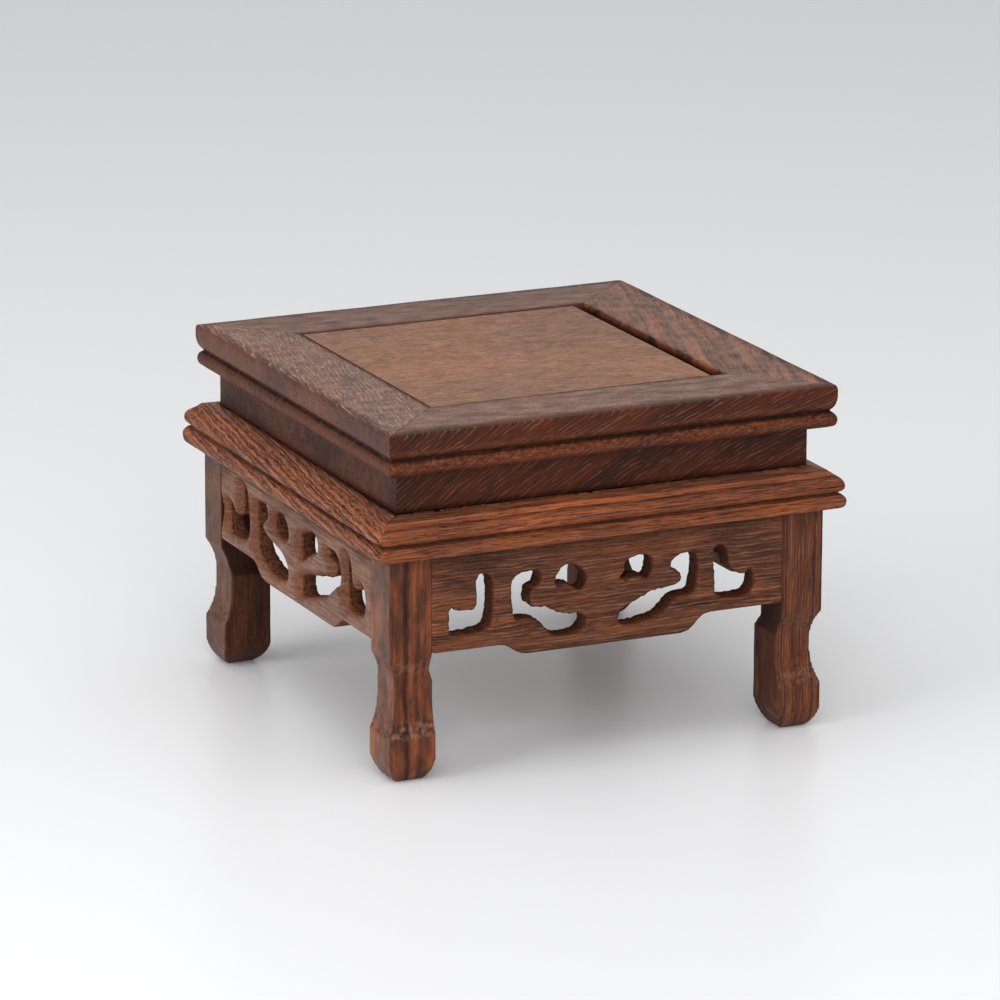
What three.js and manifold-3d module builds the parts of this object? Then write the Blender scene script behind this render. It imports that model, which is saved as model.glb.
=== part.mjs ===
// A small square display stand in dark striped hardwood, put together with mitres, tongues and tenons.
// Millimetres, +Z up. The origin is on the table, under the middle of the stand.
// The front is the side that looks along -Y, the right side looks along +X.
import * as THREE from "three";
import { mergeVertices } from "three/addons/utils/BufferGeometryUtils.js";
import Module from "manifold-3d";

const wasm = await Module();
wasm.setup();

// Plan: the top's side over its edge, and how far each tier below stands out or back from it.
const TOP_SIDE = 100;
// How far each edge of the top was planed off its line.
const EDGE_DRIFT = { front: 0.3, left: -0.5, back: 0.5, right: 0.6 };
const WAIST_SETBACK = 4.25;
const MOULDING_OVERHANG = 2.2;
const BODY_SETBACK = 1.55;

// Heights of the tiers, from the table up.
const LEG_HEIGHT = 47.2;
const MOULDING_HEIGHT = 8.3;
const RAIL_HEIGHT = 17.3;

// The four top rails: each was planed to a width of its own.
const RAIL_WIDTH = { front: 18.2, left: 17.1, back: 16.2, right: 16.8 };
const EDGE_HEIGHT = 5.2;
const ARRIS = [0.5, 1];
const EDGE_ROUND_HEIGHT = 2.6;
const EDGE_GROOVE_DEPTH = 1.3;
const EDGE_GROOVE_HEIGHT = 0.4;
const BEAD_HEIGHT = 3.2;

// The floating panel and the groove that holds it.
const PANEL_THICKNESS = 6;
const PANEL_RECESS = 0.25;
const GROOVE_DEPTH = 4.5;
const GROOVE_HEIGHT = 3;
const GROOVE_LIP = 1.8;
const TONGUE_CLEARANCE = 0.2;
const PANEL_TRAVEL = 2.5;
const PANEL_END_CLEARANCE = 0.3;
const PANEL_SIDE_CLEARANCE = 0.15;

// The lower moulding, four mitred strips.
const MOULDING_WIDTH = 16.2;
const LOWER_BEAD_HEIGHT = 3.2;
const LOWER_BEAD_ROUND = 1;
const NOSE_SETBACK = 0.2;
const MOULDING_GROOVE_DEPTH = 1.2;
const NOSE_HEIGHT = 2.4;
const NOSE_ROUND = 0.65;
const LEDGE_WIDTH = 3.25;
const LEDGE_FALL = 0.5;
const LEDGE_GAP = 0.1;
// How far each ledge stands above the foot of the waist behind it.
const LEDGE_RISE = { front: 0, left: 0.6, back: 0.6, right: 0 };

// Joinery.
const FIT = 0.15;
const MITRE_GAP = 0.1;
const JOINT_TONGUE_HEIGHT = 1.5;
const RAIL_TONGUE_WIDTH = 1.6;
const RAIL_TONGUE_INSET = 1;
const LEG_TENON_SIDE = 4;
const LEG_TENON_LENGTH = 11;
const LEG_TENON_INSET = 0.7;
const MITRE_TENON_WIDTH = 5;
const MITRE_TENON_HEIGHT = 4;
const MITRE_TENON_LENGTH = 7;
const MITRE_TENON_ABOVE = 1.6;

// The aprons.
const APRON_THICKNESS = 4.7;
const APRON_TONGUE_THICKNESS = 1.8;
const APRON_TONGUE_LENGTH = 2.5;
const APRON_TONGUE_DEPTH = 1.4;
const APRON_TONGUE_FOOT = 17;
const PATTERN_LENGTH = 78.3;
const PATTERN_TOP = 47.2;

// The legs. Each was cut from its own stick and shaped by eye: pairs are across and from front to back.
const POST_WIDTH = 9.3;
const LEG_SECTION = {
  front_left: [10.2, 10.1],
  front_right: [9.8, 11.1],
  back_left: [10.6, 10.8],
  back_right: [11.6, 10.2],
};
const SCOOP_DEPTH = { front_left: 1.7, front_right: 1.7, back_left: 1.7, back_right: 1.9 };
const SCOOP_TOP = { front_left: 26, front_right: 25, back_left: 26.6, back_right: 25.8 };
const SCOOP_UPPER_HEIGHT = 5.6;
const SCOOP_LOWER_HEIGHT = 7.4;
const FOOT_HEIGHT = 9.6;
const SHOULDER_TOP = 22.8;
const SHOULDER_HEIGHT = 2.4;
const OUTER_CHAMFER = [2.4, 4.2];
const INNER_CHAMFER = {
  front_left: [2, 3],
  front_right: [1.9, 3.6],
  back_left: [2.2, 4.6],
  back_right: [3.2, 3.2],
};
const INNER_CHAMFER_HEIGHT = 4.8;

const CURVE_STEPS = 5;
const SPAN_STEPS = 3;

// Heights and half sides that follow from the sizes above.
const waistBase = LEG_HEIGHT + MOULDING_HEIGHT;
const topHeight = waistBase + RAIL_HEIGHT;
const topHalf = TOP_SIDE / 2;
const waistHalf = topHalf - WAIST_SETBACK;
const mouldingHalf = topHalf + MOULDING_OVERHANG;
const ledgeHalf = waistHalf + LEDGE_WIDTH;
const bodyHalf = topHalf - BODY_SETBACK;
const postInner = bodyHalf - POST_WIDTH;
const panelTop = topHeight - PANEL_RECESS;
const grooveTop = topHeight - GROOVE_LIP;
const grooveBase = grooveTop - GROOVE_HEIGHT;
const MARGIN = 3;

// The sides in the order in which a stick's far end meets the next one.
const SIDES = ["front", "left", "back", "right"];
const forEachSide = (value) => Object.fromEntries(SIDES.map((side) => [side, value(side)]));
const topReach = forEachSide((side) => topHalf + EDGE_DRIFT[side]);
const OUTWARD = {
  front: new THREE.Vector3(0, -1, 0),
  left: new THREE.Vector3(-1, 0, 0),
  back: new THREE.Vector3(0, 1, 0),
  right: new THREE.Vector3(1, 0, 0),
};
const UP = new THREE.Vector3(0, 0, 1);

const CORNERS = {
  front_left: [-1, -1],
  front_right: [1, -1],
  back_left: [-1, 1],
  back_right: [1, 1],
};

// Solids

function solid(geometry) {
  const bare = geometry.clone();
  bare.deleteAttribute("normal");
  bare.deleteAttribute("uv");
  const merged = mergeVertices(bare, 1e-4);
  return new wasm.Manifold(
    new wasm.Mesh({
      numProp: 3,
      vertProperties: merged.attributes.position.array,
      triVerts: new Uint32Array(merged.index.array),
    }),
  );
}

// A block given by its lowest and highest corner.
function block(low, high) {
  const size = high.map((h, i) => h - low[i]);
  const geometry = new THREE.BoxGeometry(...size);
  geometry.translate(...low.map((l, i) => l + size[i] / 2));
  return solid(geometry);
}

// A profile of outward distance and height, run along one side of the stand.
function stick(side, profile, length) {
  const along = OUTWARD[side].clone().cross(UP);
  const geometry = new THREE.ExtrudeGeometry(profile, {
    depth: length,
    bevelEnabled: false,
    curveSegments: CURVE_STEPS,
  });
  const place = new THREE.Matrix4().makeBasis(OUTWARD[side], UP, along);
  place.setPosition(along.clone().multiplyScalar(-length / 2));
  return solid(geometry.applyMatrix4(place));
}

// An outline seen from outside one side, drawn as distance to the right and height,
// and given a thickness from the face inwards.
function board(side, outline, face, thickness) {
  const right = UP.clone().cross(OUTWARD[side]);
  const geometry = new THREE.ExtrudeGeometry(outline, {
    depth: thickness,
    bevelEnabled: false,
    curveSegments: CURVE_STEPS,
  });
  const place = new THREE.Matrix4().makeBasis(right, UP, OUTWARD[side]);
  place.setPosition(OUTWARD[side].clone().multiplyScalar(face - thickness));
  return solid(geometry.applyMatrix4(place));
}

// What a mitred stick keeps: the wedge between the cuts at its two ends. Each cut runs from where the
// outer edges of the two sticks cross to where their inner edges do.
function mitreWedge(side, reaches, widths) {
  const at = SIDES.indexOf(side);
  const next = SIDES[(at + 1) % SIDES.length];
  const previous = SIDES[(at + SIDES.length - 1) % SIDES.length];
  const end = (out, neighbour) => {
    const slope = widths[neighbour] / widths[side];
    const pullBack = (MITRE_GAP / 2) * Math.hypot(1, slope);
    return reaches[neighbour] + (out - reaches[side]) * slope - pullBack;
  };
  const near = reaches[side] - widths[side] - MARGIN;
  const far = reaches[side] + MARGIN;
  const outline = new THREE.Shape();
  outline.moveTo(near, end(near, next));
  outline.lineTo(near, -end(near, previous));
  outline.lineTo(far, -end(far, previous));
  outline.lineTo(far, end(far, next));
  const along = OUTWARD[side].clone().cross(UP);
  const down = UP.clone().negate();
  const geometry = new THREE.ExtrudeGeometry(outline, {
    depth: topHeight + 2 * MARGIN,
    bevelEnabled: false,
  });
  const place = new THREE.Matrix4().makeBasis(OUTWARD[side], along, down);
  place.setPosition(0, 0, topHeight + MARGIN);
  return solid(geometry.applyMatrix4(place));
}

// A block in one side's own terms: distance outwards, distance along and height, each a low and a high value.
function sideBlock(side, out, along, height) {
  const direction = OUTWARD[side].clone().cross(UP);
  const corners = [0, 1].map((i) =>
    OUTWARD[side]
      .clone()
      .multiplyScalar(out[i])
      .addScaledVector(direction, along[i])
      .toArray(),
  );
  const low = [0, 1].map((k) => Math.min(corners[0][k], corners[1][k]));
  const high = [0, 1].map((k) => Math.max(corners[0][k], corners[1][k]));
  return block([...low, height[0]], [...high, height[1]]);
}

// Leg tenons, which rise through the moulding into the top rails

function legTenon(corner, play) {
  const [sx, sy] = CORNERS[corner];
  const inner = postInner + LEG_TENON_INSET - play;
  const outer = postInner + LEG_TENON_INSET + LEG_TENON_SIDE + play;
  const span = (sign) => (sign > 0 ? [inner, outer] : [-outer, -inner]);
  const [x0, x1] = span(sx);
  const [y0, y1] = span(sy);
  const top = LEG_HEIGHT + LEG_TENON_LENGTH + play;
  return block([x0, y0, LEG_HEIGHT - MARGIN / 2], [x1, y1, top]);
}

function withoutLegTenons(body) {
  return Object.keys(CORNERS).reduce((left, corner) => left.subtract(legTenon(corner, FIT)), body);
}

// Top rails: edge, groove, bead and waist are worked on one stick

const beadTop = topHeight - EDGE_HEIGHT - EDGE_GROOVE_HEIGHT;
const beadBase = beadTop - BEAD_HEIGHT;

function railProfile(side) {
  const outer = topReach[side];
  const inner = outer - RAIL_WIDTH[side];
  const edgeBase = topHeight - EDGE_HEIGHT;
  const beadMiddle = beadTop - BEAD_HEIGHT / 2;
  const grooveFloor = outer - EDGE_GROOVE_DEPTH;
  const [arrisIn, arrisDown] = ARRIS;
  const p = new THREE.Shape();
  p.moveTo(inner, waistBase);
  p.lineTo(waistHalf, waistBase);
  p.lineTo(waistHalf, beadBase);
  p.lineTo(grooveFloor, beadBase);
  p.quadraticCurveTo(outer, beadBase, outer, beadMiddle);
  p.quadraticCurveTo(outer, beadTop, grooveFloor, beadTop);
  p.lineTo(grooveFloor, edgeBase);
  p.quadraticCurveTo(outer, edgeBase, outer, edgeBase + EDGE_ROUND_HEIGHT);
  p.lineTo(outer, topHeight - arrisDown);
  p.quadraticCurveTo(outer, topHeight, outer - arrisIn, topHeight);
  p.lineTo(inner, topHeight);
  p.lineTo(inner, grooveTop);
  p.lineTo(inner + GROOVE_DEPTH, grooveTop);
  p.lineTo(inner + GROOVE_DEPTH, grooveBase);
  p.lineTo(inner, grooveBase);
  return p;
}

// The waist is cut square below the bead, whatever the drift of the edges above it.
function withSquareWaist(body) {
  const far = topHalf + MARGIN;
  const waist = block([-waistHalf, -waistHalf, waistBase - MARGIN], [waistHalf, waistHalf, topHeight]);
  const above = block([-far, -far, beadBase], [far, far, topHeight + MARGIN]);
  return body.intersect(waist.add(above));
}

// The slots under the rails for the moulding's tongues. The two tiers' mitres don't quite lie on
// each other, so each rail is cut for its neighbours' tongues as well.
function withoutTongueSlots(body) {
  const inner = mouldingHalf - MOULDING_WIDTH + RAIL_TONGUE_INSET - FIT;
  const outer = inner + RAIL_TONGUE_WIDTH + 2 * FIT;
  const height = [waistBase - MARGIN, waistBase + JOINT_TONGUE_HEIGHT + FIT];
  return SIDES.reduce(
    (left, side) => left.subtract(sideBlock(side, [inner, outer], [-outer, outer], height)),
    body,
  );
}

// The hidden tenon that runs from the end of a front or back rail into the side rail.
function mitreTenon(side, end, play) {
  const reach = waistHalf - MITRE_TENON_ABOVE + play;
  const inner = reach - play - MITRE_TENON_LENGTH;
  const middle = postInner + LEG_TENON_INSET;
  const half = MITRE_TENON_WIDTH / 2 + play;
  const base = LEG_HEIGHT + LEG_TENON_LENGTH + MITRE_TENON_ABOVE;
  return sideBlock(
    side,
    [middle - half, middle + half],
    [end * inner, end * reach],
    [base - play, base + MITRE_TENON_HEIGHT + play],
  );
}

function topRail(side) {
  const length = TOP_SIDE + 2 * MARGIN;
  const wedge = mitreWedge(side, topReach, RAIL_WIDTH);
  let rail = withSquareWaist(stick(side, railProfile(side), length).intersect(wedge));
  if (side === "front" || side === "back") {
    rail = rail.add(mitreTenon(side, 1, 0)).add(mitreTenon(side, -1, 0));
  } else {
    for (const across of ["front", "back"]) {
      rail = rail.subtract(mitreTenon(across, 1, FIT)).subtract(mitreTenon(across, -1, FIT));
    }
  }
  return withoutLegTenons(withoutTongueSlots(rail));
}

// Panel: it floats in the rails' groove and lies against the left end of it

function panel() {
  const edge = forEachSide((side) => topReach[side] - RAIL_WIDTH[side]);
  const slack = PANEL_TRAVEL + PANEL_END_CLEARANCE;
  const body = block(
    [-edge.left + PANEL_SIDE_CLEARANCE, -edge.front + PANEL_SIDE_CLEARANCE, panelTop - PANEL_THICKNESS],
    [edge.right - slack, edge.back - PANEL_SIDE_CLEARANCE, panelTop],
  );
  const reach = GROOVE_DEPTH - PANEL_END_CLEARANCE;
  const tongue = block(
    [-edge.left - reach, -edge.front - reach, grooveBase + TONGUE_CLEARANCE],
    [edge.right + GROOVE_DEPTH - slack, edge.back + reach, grooveTop - TONGUE_CLEARANCE],
  );
  return body.add(tongue);
}

// Lower moulding: a bead, a groove, a rounded nose, a straight slope and a ledge in front of the waist

function mouldingProfile(side) {
  const inner = mouldingHalf - MOULDING_WIDTH;
  const grooveZ = LEG_HEIGHT + LOWER_BEAD_HEIGHT;
  const grooveFloor = mouldingHalf - MOULDING_GROOVE_DEPTH;
  const beadFace = mouldingHalf - LOWER_BEAD_ROUND;
  const beadMiddle = LEG_HEIGHT + LOWER_BEAD_HEIGHT / 2;
  const nose = mouldingHalf - NOSE_SETBACK;
  const noseMiddle = grooveZ + NOSE_HEIGHT / 2;
  const noseTop = grooveZ + NOSE_HEIGHT;
  const footTop = waistBase - LEDGE_GAP;
  const ledgeTop = footTop + LEDGE_RISE[side];
  const waistFace = waistHalf + LEDGE_GAP;
  const tongueInner = inner + RAIL_TONGUE_INSET;
  const tongueOuter = tongueInner + RAIL_TONGUE_WIDTH;
  const slotInner = bodyHalf - APRON_TONGUE_DEPTH - APRON_TONGUE_THICKNESS - FIT;
  const slotOuter = bodyHalf - APRON_TONGUE_DEPTH + FIT;
  const slotTop = LEG_HEIGHT + JOINT_TONGUE_HEIGHT + FIT;
  const p = new THREE.Shape();
  p.moveTo(inner, LEG_HEIGHT);
  p.lineTo(slotInner, LEG_HEIGHT);
  p.lineTo(slotInner, slotTop);
  p.lineTo(slotOuter, slotTop);
  p.lineTo(slotOuter, LEG_HEIGHT);
  p.lineTo(beadFace, LEG_HEIGHT);
  p.quadraticCurveTo(mouldingHalf, LEG_HEIGHT, mouldingHalf, beadMiddle);
  p.quadraticCurveTo(mouldingHalf, grooveZ, grooveFloor, grooveZ);
  p.quadraticCurveTo(nose, grooveZ, nose, noseMiddle);
  p.quadraticCurveTo(nose, noseTop - NOSE_ROUND, nose - NOSE_ROUND, noseTop);
  p.lineTo(ledgeHalf, ledgeTop - LEDGE_FALL);
  p.lineTo(waistFace, ledgeTop);
  if (ledgeTop > footTop) {
    p.lineTo(waistFace, footTop);
  }
  p.lineTo(tongueOuter, footTop);
  p.lineTo(tongueOuter, waistBase + JOINT_TONGUE_HEIGHT);
  p.lineTo(tongueInner, waistBase + JOINT_TONGUE_HEIGHT);
  p.lineTo(tongueInner, footTop);
  p.lineTo(inner, footTop);
  return p;
}

function moulding(side) {
  const widths = forEachSide(() => MOULDING_WIDTH);
  const reaches = forEachSide(() => mouldingHalf);
  const strip = stick(side, mouldingProfile(side), 2 * (mouldingHalf + MARGIN));
  return withoutLegTenons(strip.intersect(mitreWedge(side, reaches, widths)));
}

// Aprons: openwork boards of hooked scrolls. Points are distance right of the middle and height
// above the table, chosen by hand and joined by a smooth closed curve. They were drawn for a board of
// the pattern's length and top height, and follow the real board from there. The boards at the sides
// were cut more freely, with wider openings.

const FRONT_OPENINGS = {
  leftHook: [
    [-35.3, 30.3], [-35.5, 33], [-35.3, 35], [-34.6, 36], [-33.9, 35.1], [-30.3, 34.7], [-29.4, 35.3],
    [-29.4, 40.6], [-28.5, 41.9], [-26.7, 41.7], [-25.8, 40.4], [-25.5, 36], [-25.7, 32.4],
    [-26.4, 30.5], [-28.2, 29.7], [-34.7, 29.5],
  ],
  leftScroll: [
    [-21.3, 32.4], [-21.7, 36.5], [-21.6, 39.2], [-20.4, 40.8], [-18.6, 41.2], [-15.8, 41.2],
    [-14.9, 40], [-15.4, 37.9], [-17.1, 36.9], [-17.4, 34.7], [-16.8, 33.7], [-13.7, 33.3],
    [-11.4, 32.1], [-9.6, 31.4], [-6, 31], [-4.9, 29.6], [-5.4, 27.6], [-7.6, 26.7], [-11.9, 26.8],
    [-13.6, 27.9], [-15.5, 30.2], [-17.5, 31], [-20.7, 31.1],
  ],
  leftEye: [
    [-12.1, 38], [-11.7, 39.6], [-10.3, 41.3], [-8.5, 41.7], [-6.5, 40.9], [-5, 39], [-4.9, 37.2],
    [-6, 35.9], [-7.3, 36], [-9, 37.2], [-11.4, 37.1],
  ],
  rightEye: [
    [2.3, 37.4], [3.4, 38.7], [3.4, 40.4], [5, 41.4], [8.1, 41.8], [9.7, 40.8], [9.8, 38], [8.8, 36.5],
    [7.2, 37], [5.8, 37.1], [3.8, 36.5],
  ],
  rightScroll: [
    [2, 28.9], [2.8, 30.8], [4.4, 31.6], [7.6, 32.9], [9.6, 33.9], [13.6, 34.3], [15.8, 34.9],
    [16.3, 36], [15.5, 37], [14, 37.6], [13.9, 39.2], [15.3, 40.6], [18.8, 40.9], [20, 39.8],
    [20, 34.4], [19.3, 32.2], [17, 31.7], [15, 31.3], [13.4, 29.7], [11.4, 28.2], [8, 27.4], [2.8, 27.3],
  ],
  rightHook: [
    [23.9, 31.4], [23.8, 34.5], [23.5, 40.4], [24.4, 41.7], [26.1, 41.4], [27, 39.6], [27.2, 37.2],
    [28.5, 35.8], [30.9, 35.2], [31.7, 36.2], [32.7, 35], [33, 32.2], [31.8, 30.5], [28.4, 30.1],
    [25.2, 30.5],
  ],
};
const SIDE_OPENINGS = {
  leftHook: [
    [-37.7, 33.4], [-37.9, 35.8], [-37.1, 37.7], [-35.4, 38.2], [-33.4, 37.6], [-32.2, 36.4],
    [-31.1, 35.9], [-30.3, 36.8], [-30.3, 41.4], [-29.3, 43.4], [-27.7, 44], [-26.1, 43.2],
    [-25.1, 41.4], [-24.7, 38.5], [-24.4, 35.6], [-24.8, 33.2], [-26.3, 31.8], [-30, 30.9],
    [-34.6, 30.7], [-36.9, 31.5],
  ],
  leftScroll: [
    [-22.9, 34.5], [-23, 38.2], [-22.6, 40.6], [-20.8, 41.6], [-17.4, 42], [-15.3, 41.8], [-14.6, 40.6],
    [-15.1, 39.2], [-16.6, 38.3], [-17.4, 37], [-16.4, 36.1], [-13.6, 35], [-10.4, 34.4], [-7.6, 33.8],
    [-5.2, 32.6], [-3.8, 30.9], [-4.2, 29.2], [-6.2, 28.1], [-10.4, 27.6], [-14.4, 27.9], [-18.4, 29],
    [-21, 30.4], [-22.4, 32.2],
  ],
  leftEye: [
    [-13.2, 38.8], [-12.8, 40.3], [-11, 41.5], [-8.2, 42.2], [-6, 41.9], [-4.5, 40.8], [-3.6, 39.2],
    [-3.9, 38], [-5.6, 37], [-8, 36.5], [-10.4, 36.8], [-12.3, 37.6],
  ],
  rightEye: [
    [0.4, 37.6], [0.6, 39.3], [2, 40.6], [4.6, 41.5], [7.4, 42.2], [9.8, 42.2], [11.1, 41.5],
    [11.6, 40.2], [11, 38.9], [9.2, 37.9], [7, 37], [5, 35.8], [3.2, 35], [1.5, 35.3], [0.6, 36.3],
  ],
  rightScroll: [
    [0.6, 29.8], [1.4, 31.3], [3.6, 32.2], [7.6, 33.2], [11, 33.9], [14, 34.8], [17, 35.3], [18.4, 36],
    [18.7, 37.4], [17.8, 38.7], [15.4, 39.4], [15.4, 40.6], [18.2, 41.3], [20.6, 41.1], [22.3, 40],
    [23.1, 38.2], [23.2, 36.4], [22.4, 34.8], [20.2, 33.6], [18, 32.1], [15.6, 30.6], [11, 29.1],
    [7, 28], [3.4, 27.2], [1.3, 27.6],
  ],
  rightHook: [
    [24.6, 32.6], [24.4, 35], [24.4, 38.5], [24.5, 41.4], [25.3, 42.8], [26.7, 42.9], [28, 41.9],
    [28.8, 40.2], [29.1, 38], [29.7, 36.7], [30.8, 36.2], [31.7, 36.9], [32.4, 38], [33.6, 38.2],
    [34.9, 37.6], [35.6, 36], [35.6, 33.6], [34.7, 31.9], [32.4, 31.1], [28.4, 30.8], [25.7, 31.3],
  ],
};
const OPENINGS = {
  front: FRONT_OPENINGS,
  left: SIDE_OPENINGS,
  back: FRONT_OPENINGS,
  right: SIDE_OPENINGS,
};

// The lower edge of each board: its two ends, the hanging middle, and where the steps between start and end.
const LOWER_EDGE = {
  front: { ends: [26.7, 27.9], middle: 24.2, steps: [-24.6, -18, 16.2, 22.9] },
  left: { ends: [28.8, 28.4], middle: 25.6, steps: [-23.2, -15.2, 19.4, 25.7] },
  back: { ends: [27.4, 27.8], middle: 24.6, steps: [-23.6, -17, 16.4, 22.8] },
  right: { ends: [28.4, 28.7], middle: 25.4, steps: [-23, -16.2, 18.4, 25] },
};
// How far the pattern was marked out from the middle, and how far it was spread.
const PATTERN_SHIFT = { front: 0, left: 0, back: 0.8, right: -0.5 };
const PATTERN_SPREAD_RATIO = { front: 1, left: 1, back: 1, right: 0.99 };

// A distance along the pattern and a height on it, on the real board.
const patternAlong = (x) => (x * 2 * postInner) / PATTERN_LENGTH;
const patternHeight = (z) => z + LEG_HEIGHT - PATTERN_TOP;

function openingOutline(points, side) {
  const spread = PATTERN_SPREAD_RATIO[side];
  const placed = points.map(
    ([x, z]) => new THREE.Vector3(patternAlong(PATTERN_SHIFT[side] + x * spread), patternHeight(z), 0),
  );
  const curve = new THREE.CatmullRomCurve3(placed, true, "centripetal");
  const steps = points.length * SPAN_STEPS;
  return new THREE.Shape(curve.getPoints(steps).slice(0, steps));
}

function apronOutline(side) {
  const ends = LOWER_EDGE[side].ends.map(patternHeight);
  const middle = patternHeight(LOWER_EDGE[side].middle);
  const [leftOut, leftIn, rightIn, rightOut] = LOWER_EDGE[side].steps.map(patternAlong);
  const half = postInner;
  const leftMid = (leftOut + leftIn) / 2;
  const rightMid = (rightIn + rightOut) / 2;
  const shape = new THREE.Shape();
  shape.moveTo(-half, ends[0]);
  shape.lineTo(leftOut, ends[0]);
  shape.bezierCurveTo(leftMid, ends[0], leftMid, middle, leftIn, middle);
  shape.lineTo(rightIn, middle);
  shape.bezierCurveTo(rightMid, middle, rightMid, ends[1], rightOut, ends[1]);
  shape.lineTo(half, ends[1]);
  shape.lineTo(half, LEG_HEIGHT);
  shape.lineTo(-half, LEG_HEIGHT);
  return shape;
}

function tongueOutline() {
  const half = postInner + APRON_TONGUE_LENGTH;
  const foot = LEG_HEIGHT - APRON_TONGUE_FOOT;
  const top = LEG_HEIGHT + JOINT_TONGUE_HEIGHT;
  const shape = new THREE.Shape();
  shape.moveTo(-half, foot);
  shape.lineTo(half, foot);
  shape.lineTo(half, top);
  shape.lineTo(-half, top);
  return shape;
}

function apron(side) {
  const tongueFace = bodyHalf - APRON_TONGUE_DEPTH;
  let body = board(side, apronOutline(side), bodyHalf, APRON_THICKNESS);
  body = body.add(board(side, tongueOutline(), tongueFace, APRON_TONGUE_THICKNESS));
  for (const points of Object.values(OPENINGS[side])) {
    const outline = openingOutline(points, side);
    body = body.subtract(board(side, outline, bodyHalf + MARGIN, APRON_THICKNESS + 2 * MARGIN));
  }
  return body;
}

// Legs: square posts with hollowed outer faces, a block foot and a tenon on top

function legProfile(corner, direction) {
  const outer = bodyHalf;
  const inner = outer - LEG_SECTION[corner][direction];
  const floor = outer - SCOOP_DEPTH[corner];
  const scoopTop = SCOOP_TOP[corner];
  const [outIn, outUp] = OUTER_CHAMFER;
  const inIn = INNER_CHAMFER[corner][direction];
  const p = new THREE.Shape();
  p.moveTo(inner + inIn, 0);
  p.lineTo(outer - outIn, 0);
  p.quadraticCurveTo(outer - outIn / 4, outUp / 3, outer, outUp);
  p.lineTo(outer, FOOT_HEIGHT);
  p.quadraticCurveTo(floor, FOOT_HEIGHT + SCOOP_LOWER_HEIGHT / 2, floor, FOOT_HEIGHT + SCOOP_LOWER_HEIGHT);
  p.lineTo(floor, scoopTop - SCOOP_UPPER_HEIGHT);
  p.quadraticCurveTo(floor, scoopTop - SCOOP_UPPER_HEIGHT / 2, outer, scoopTop);
  p.lineTo(outer, LEG_HEIGHT);
  p.lineTo(postInner, LEG_HEIGHT);
  p.lineTo(postInner, SHOULDER_TOP);
  p.lineTo(inner, SHOULDER_TOP - SHOULDER_HEIGHT);
  p.lineTo(inner, INNER_CHAMFER_HEIGHT);
  p.quadraticCurveTo(inner + inIn / 4, INNER_CHAMFER_HEIGHT / 3, inner + inIn, 0);
  return p;
}

// The slots in a leg's two inner faces that take the ends of its aprons' tongues.
function apronSlot(side, end) {
  const out = bodyHalf - APRON_TONGUE_DEPTH;
  const foot = LEG_HEIGHT - APRON_TONGUE_FOOT - FIT;
  const reach = postInner + APRON_TONGUE_LENGTH + FIT;
  return sideBlock(
    side,
    [out - APRON_TONGUE_THICKNESS - FIT, out + FIT],
    [end * (postInner - MARGIN), end * reach],
    [foot, LEG_HEIGHT + MARGIN],
  );
}

function leg(corner) {
  const [sx, sy] = CORNERS[corner];
  const length = 2 * (bodyHalf + MARGIN);
  const sideX = sx > 0 ? "right" : "left";
  const sideY = sy > 0 ? "back" : "front";
  const acrossX = stick(sideX, legProfile(corner, 0), length);
  const acrossY = stick(sideY, legProfile(corner, 1), length);
  let body = acrossX.intersect(acrossY);
  for (const side of [sideX, sideY]) {
    for (const end of [1, -1]) {
      body = body.subtract(apronSlot(side, end));
    }
  }
  return body.add(legTenon(corner, 0));
}

// Finishes: oiled dark striped hardwood, each stick with its own tone

const TONES = {
  rail: { front: 0x5e3a2e, left: 0x785a50, back: 0x6f6058, right: 0x76574c },
  moulding: { front: 0x8c4f35, left: 0x8a5238, back: 0x7d4730, right: 0x84492f },
  apron: { front: 0x5c372b, left: 0x6f4c40, back: 0x583428, right: 0x5f392b },
};
const PANEL_TONE = 0x96705f;
const LEG_TONE = {
  front_left: 0x643a2a,
  front_right: 0x603626,
  back_left: 0x50352c,
  back_right: 0x5b3a2c,
};

function oiledWood(color, roughness) {
  return new THREE.MeshStandardMaterial({ color, roughness, metalness: 0 });
}

function meshOf(name, body, material) {
  const { vertProperties, triVerts, numProp } = body.getMesh();
  const count = vertProperties.length / numProp;
  const positions = new Float32Array(count * 3);
  for (let i = 0; i < count; i++) {
    positions.set(vertProperties.subarray(i * numProp, i * numProp + 3), i * 3);
  }
  const geometry = new THREE.BufferGeometry();
  geometry.setAttribute("position", new THREE.BufferAttribute(positions, 3));
  geometry.setIndex(new THREE.BufferAttribute(triVerts, 1));
  geometry.computeVertexNormals();
  const mesh = new THREE.Mesh(geometry, material);
  mesh.name = name;
  return mesh;
}

const group = new THREE.Group();
for (const side of SIDES) {
  group.add(meshOf(`top_rail_${side}`, topRail(side), oiledWood(TONES.rail[side], 0.45)));
  group.add(meshOf(`lower_moulding_${side}`, moulding(side), oiledWood(TONES.moulding[side], 0.5)));
  group.add(meshOf(`apron_${side}`, apron(side), oiledWood(TONES.apron[side], 0.6)));
}
for (const corner of Object.keys(CORNERS)) {
  group.add(meshOf(`leg_${corner}`, leg(corner), oiledWood(LEG_TONE[corner], 0.55)));
}
group.add(meshOf("top_panel", panel(), oiledWood(PANEL_TONE, 0.5)));

export default group;
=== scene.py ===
"""A small square display stand of dark striped hardwood, dressed around its joinery.

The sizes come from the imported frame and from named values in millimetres, turned to metres by MM.
"""

import math
from dataclasses import dataclass

import bmesh
import bpy
import numpy as np
from mathutils import Matrix, Vector, kdtree, noise


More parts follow.
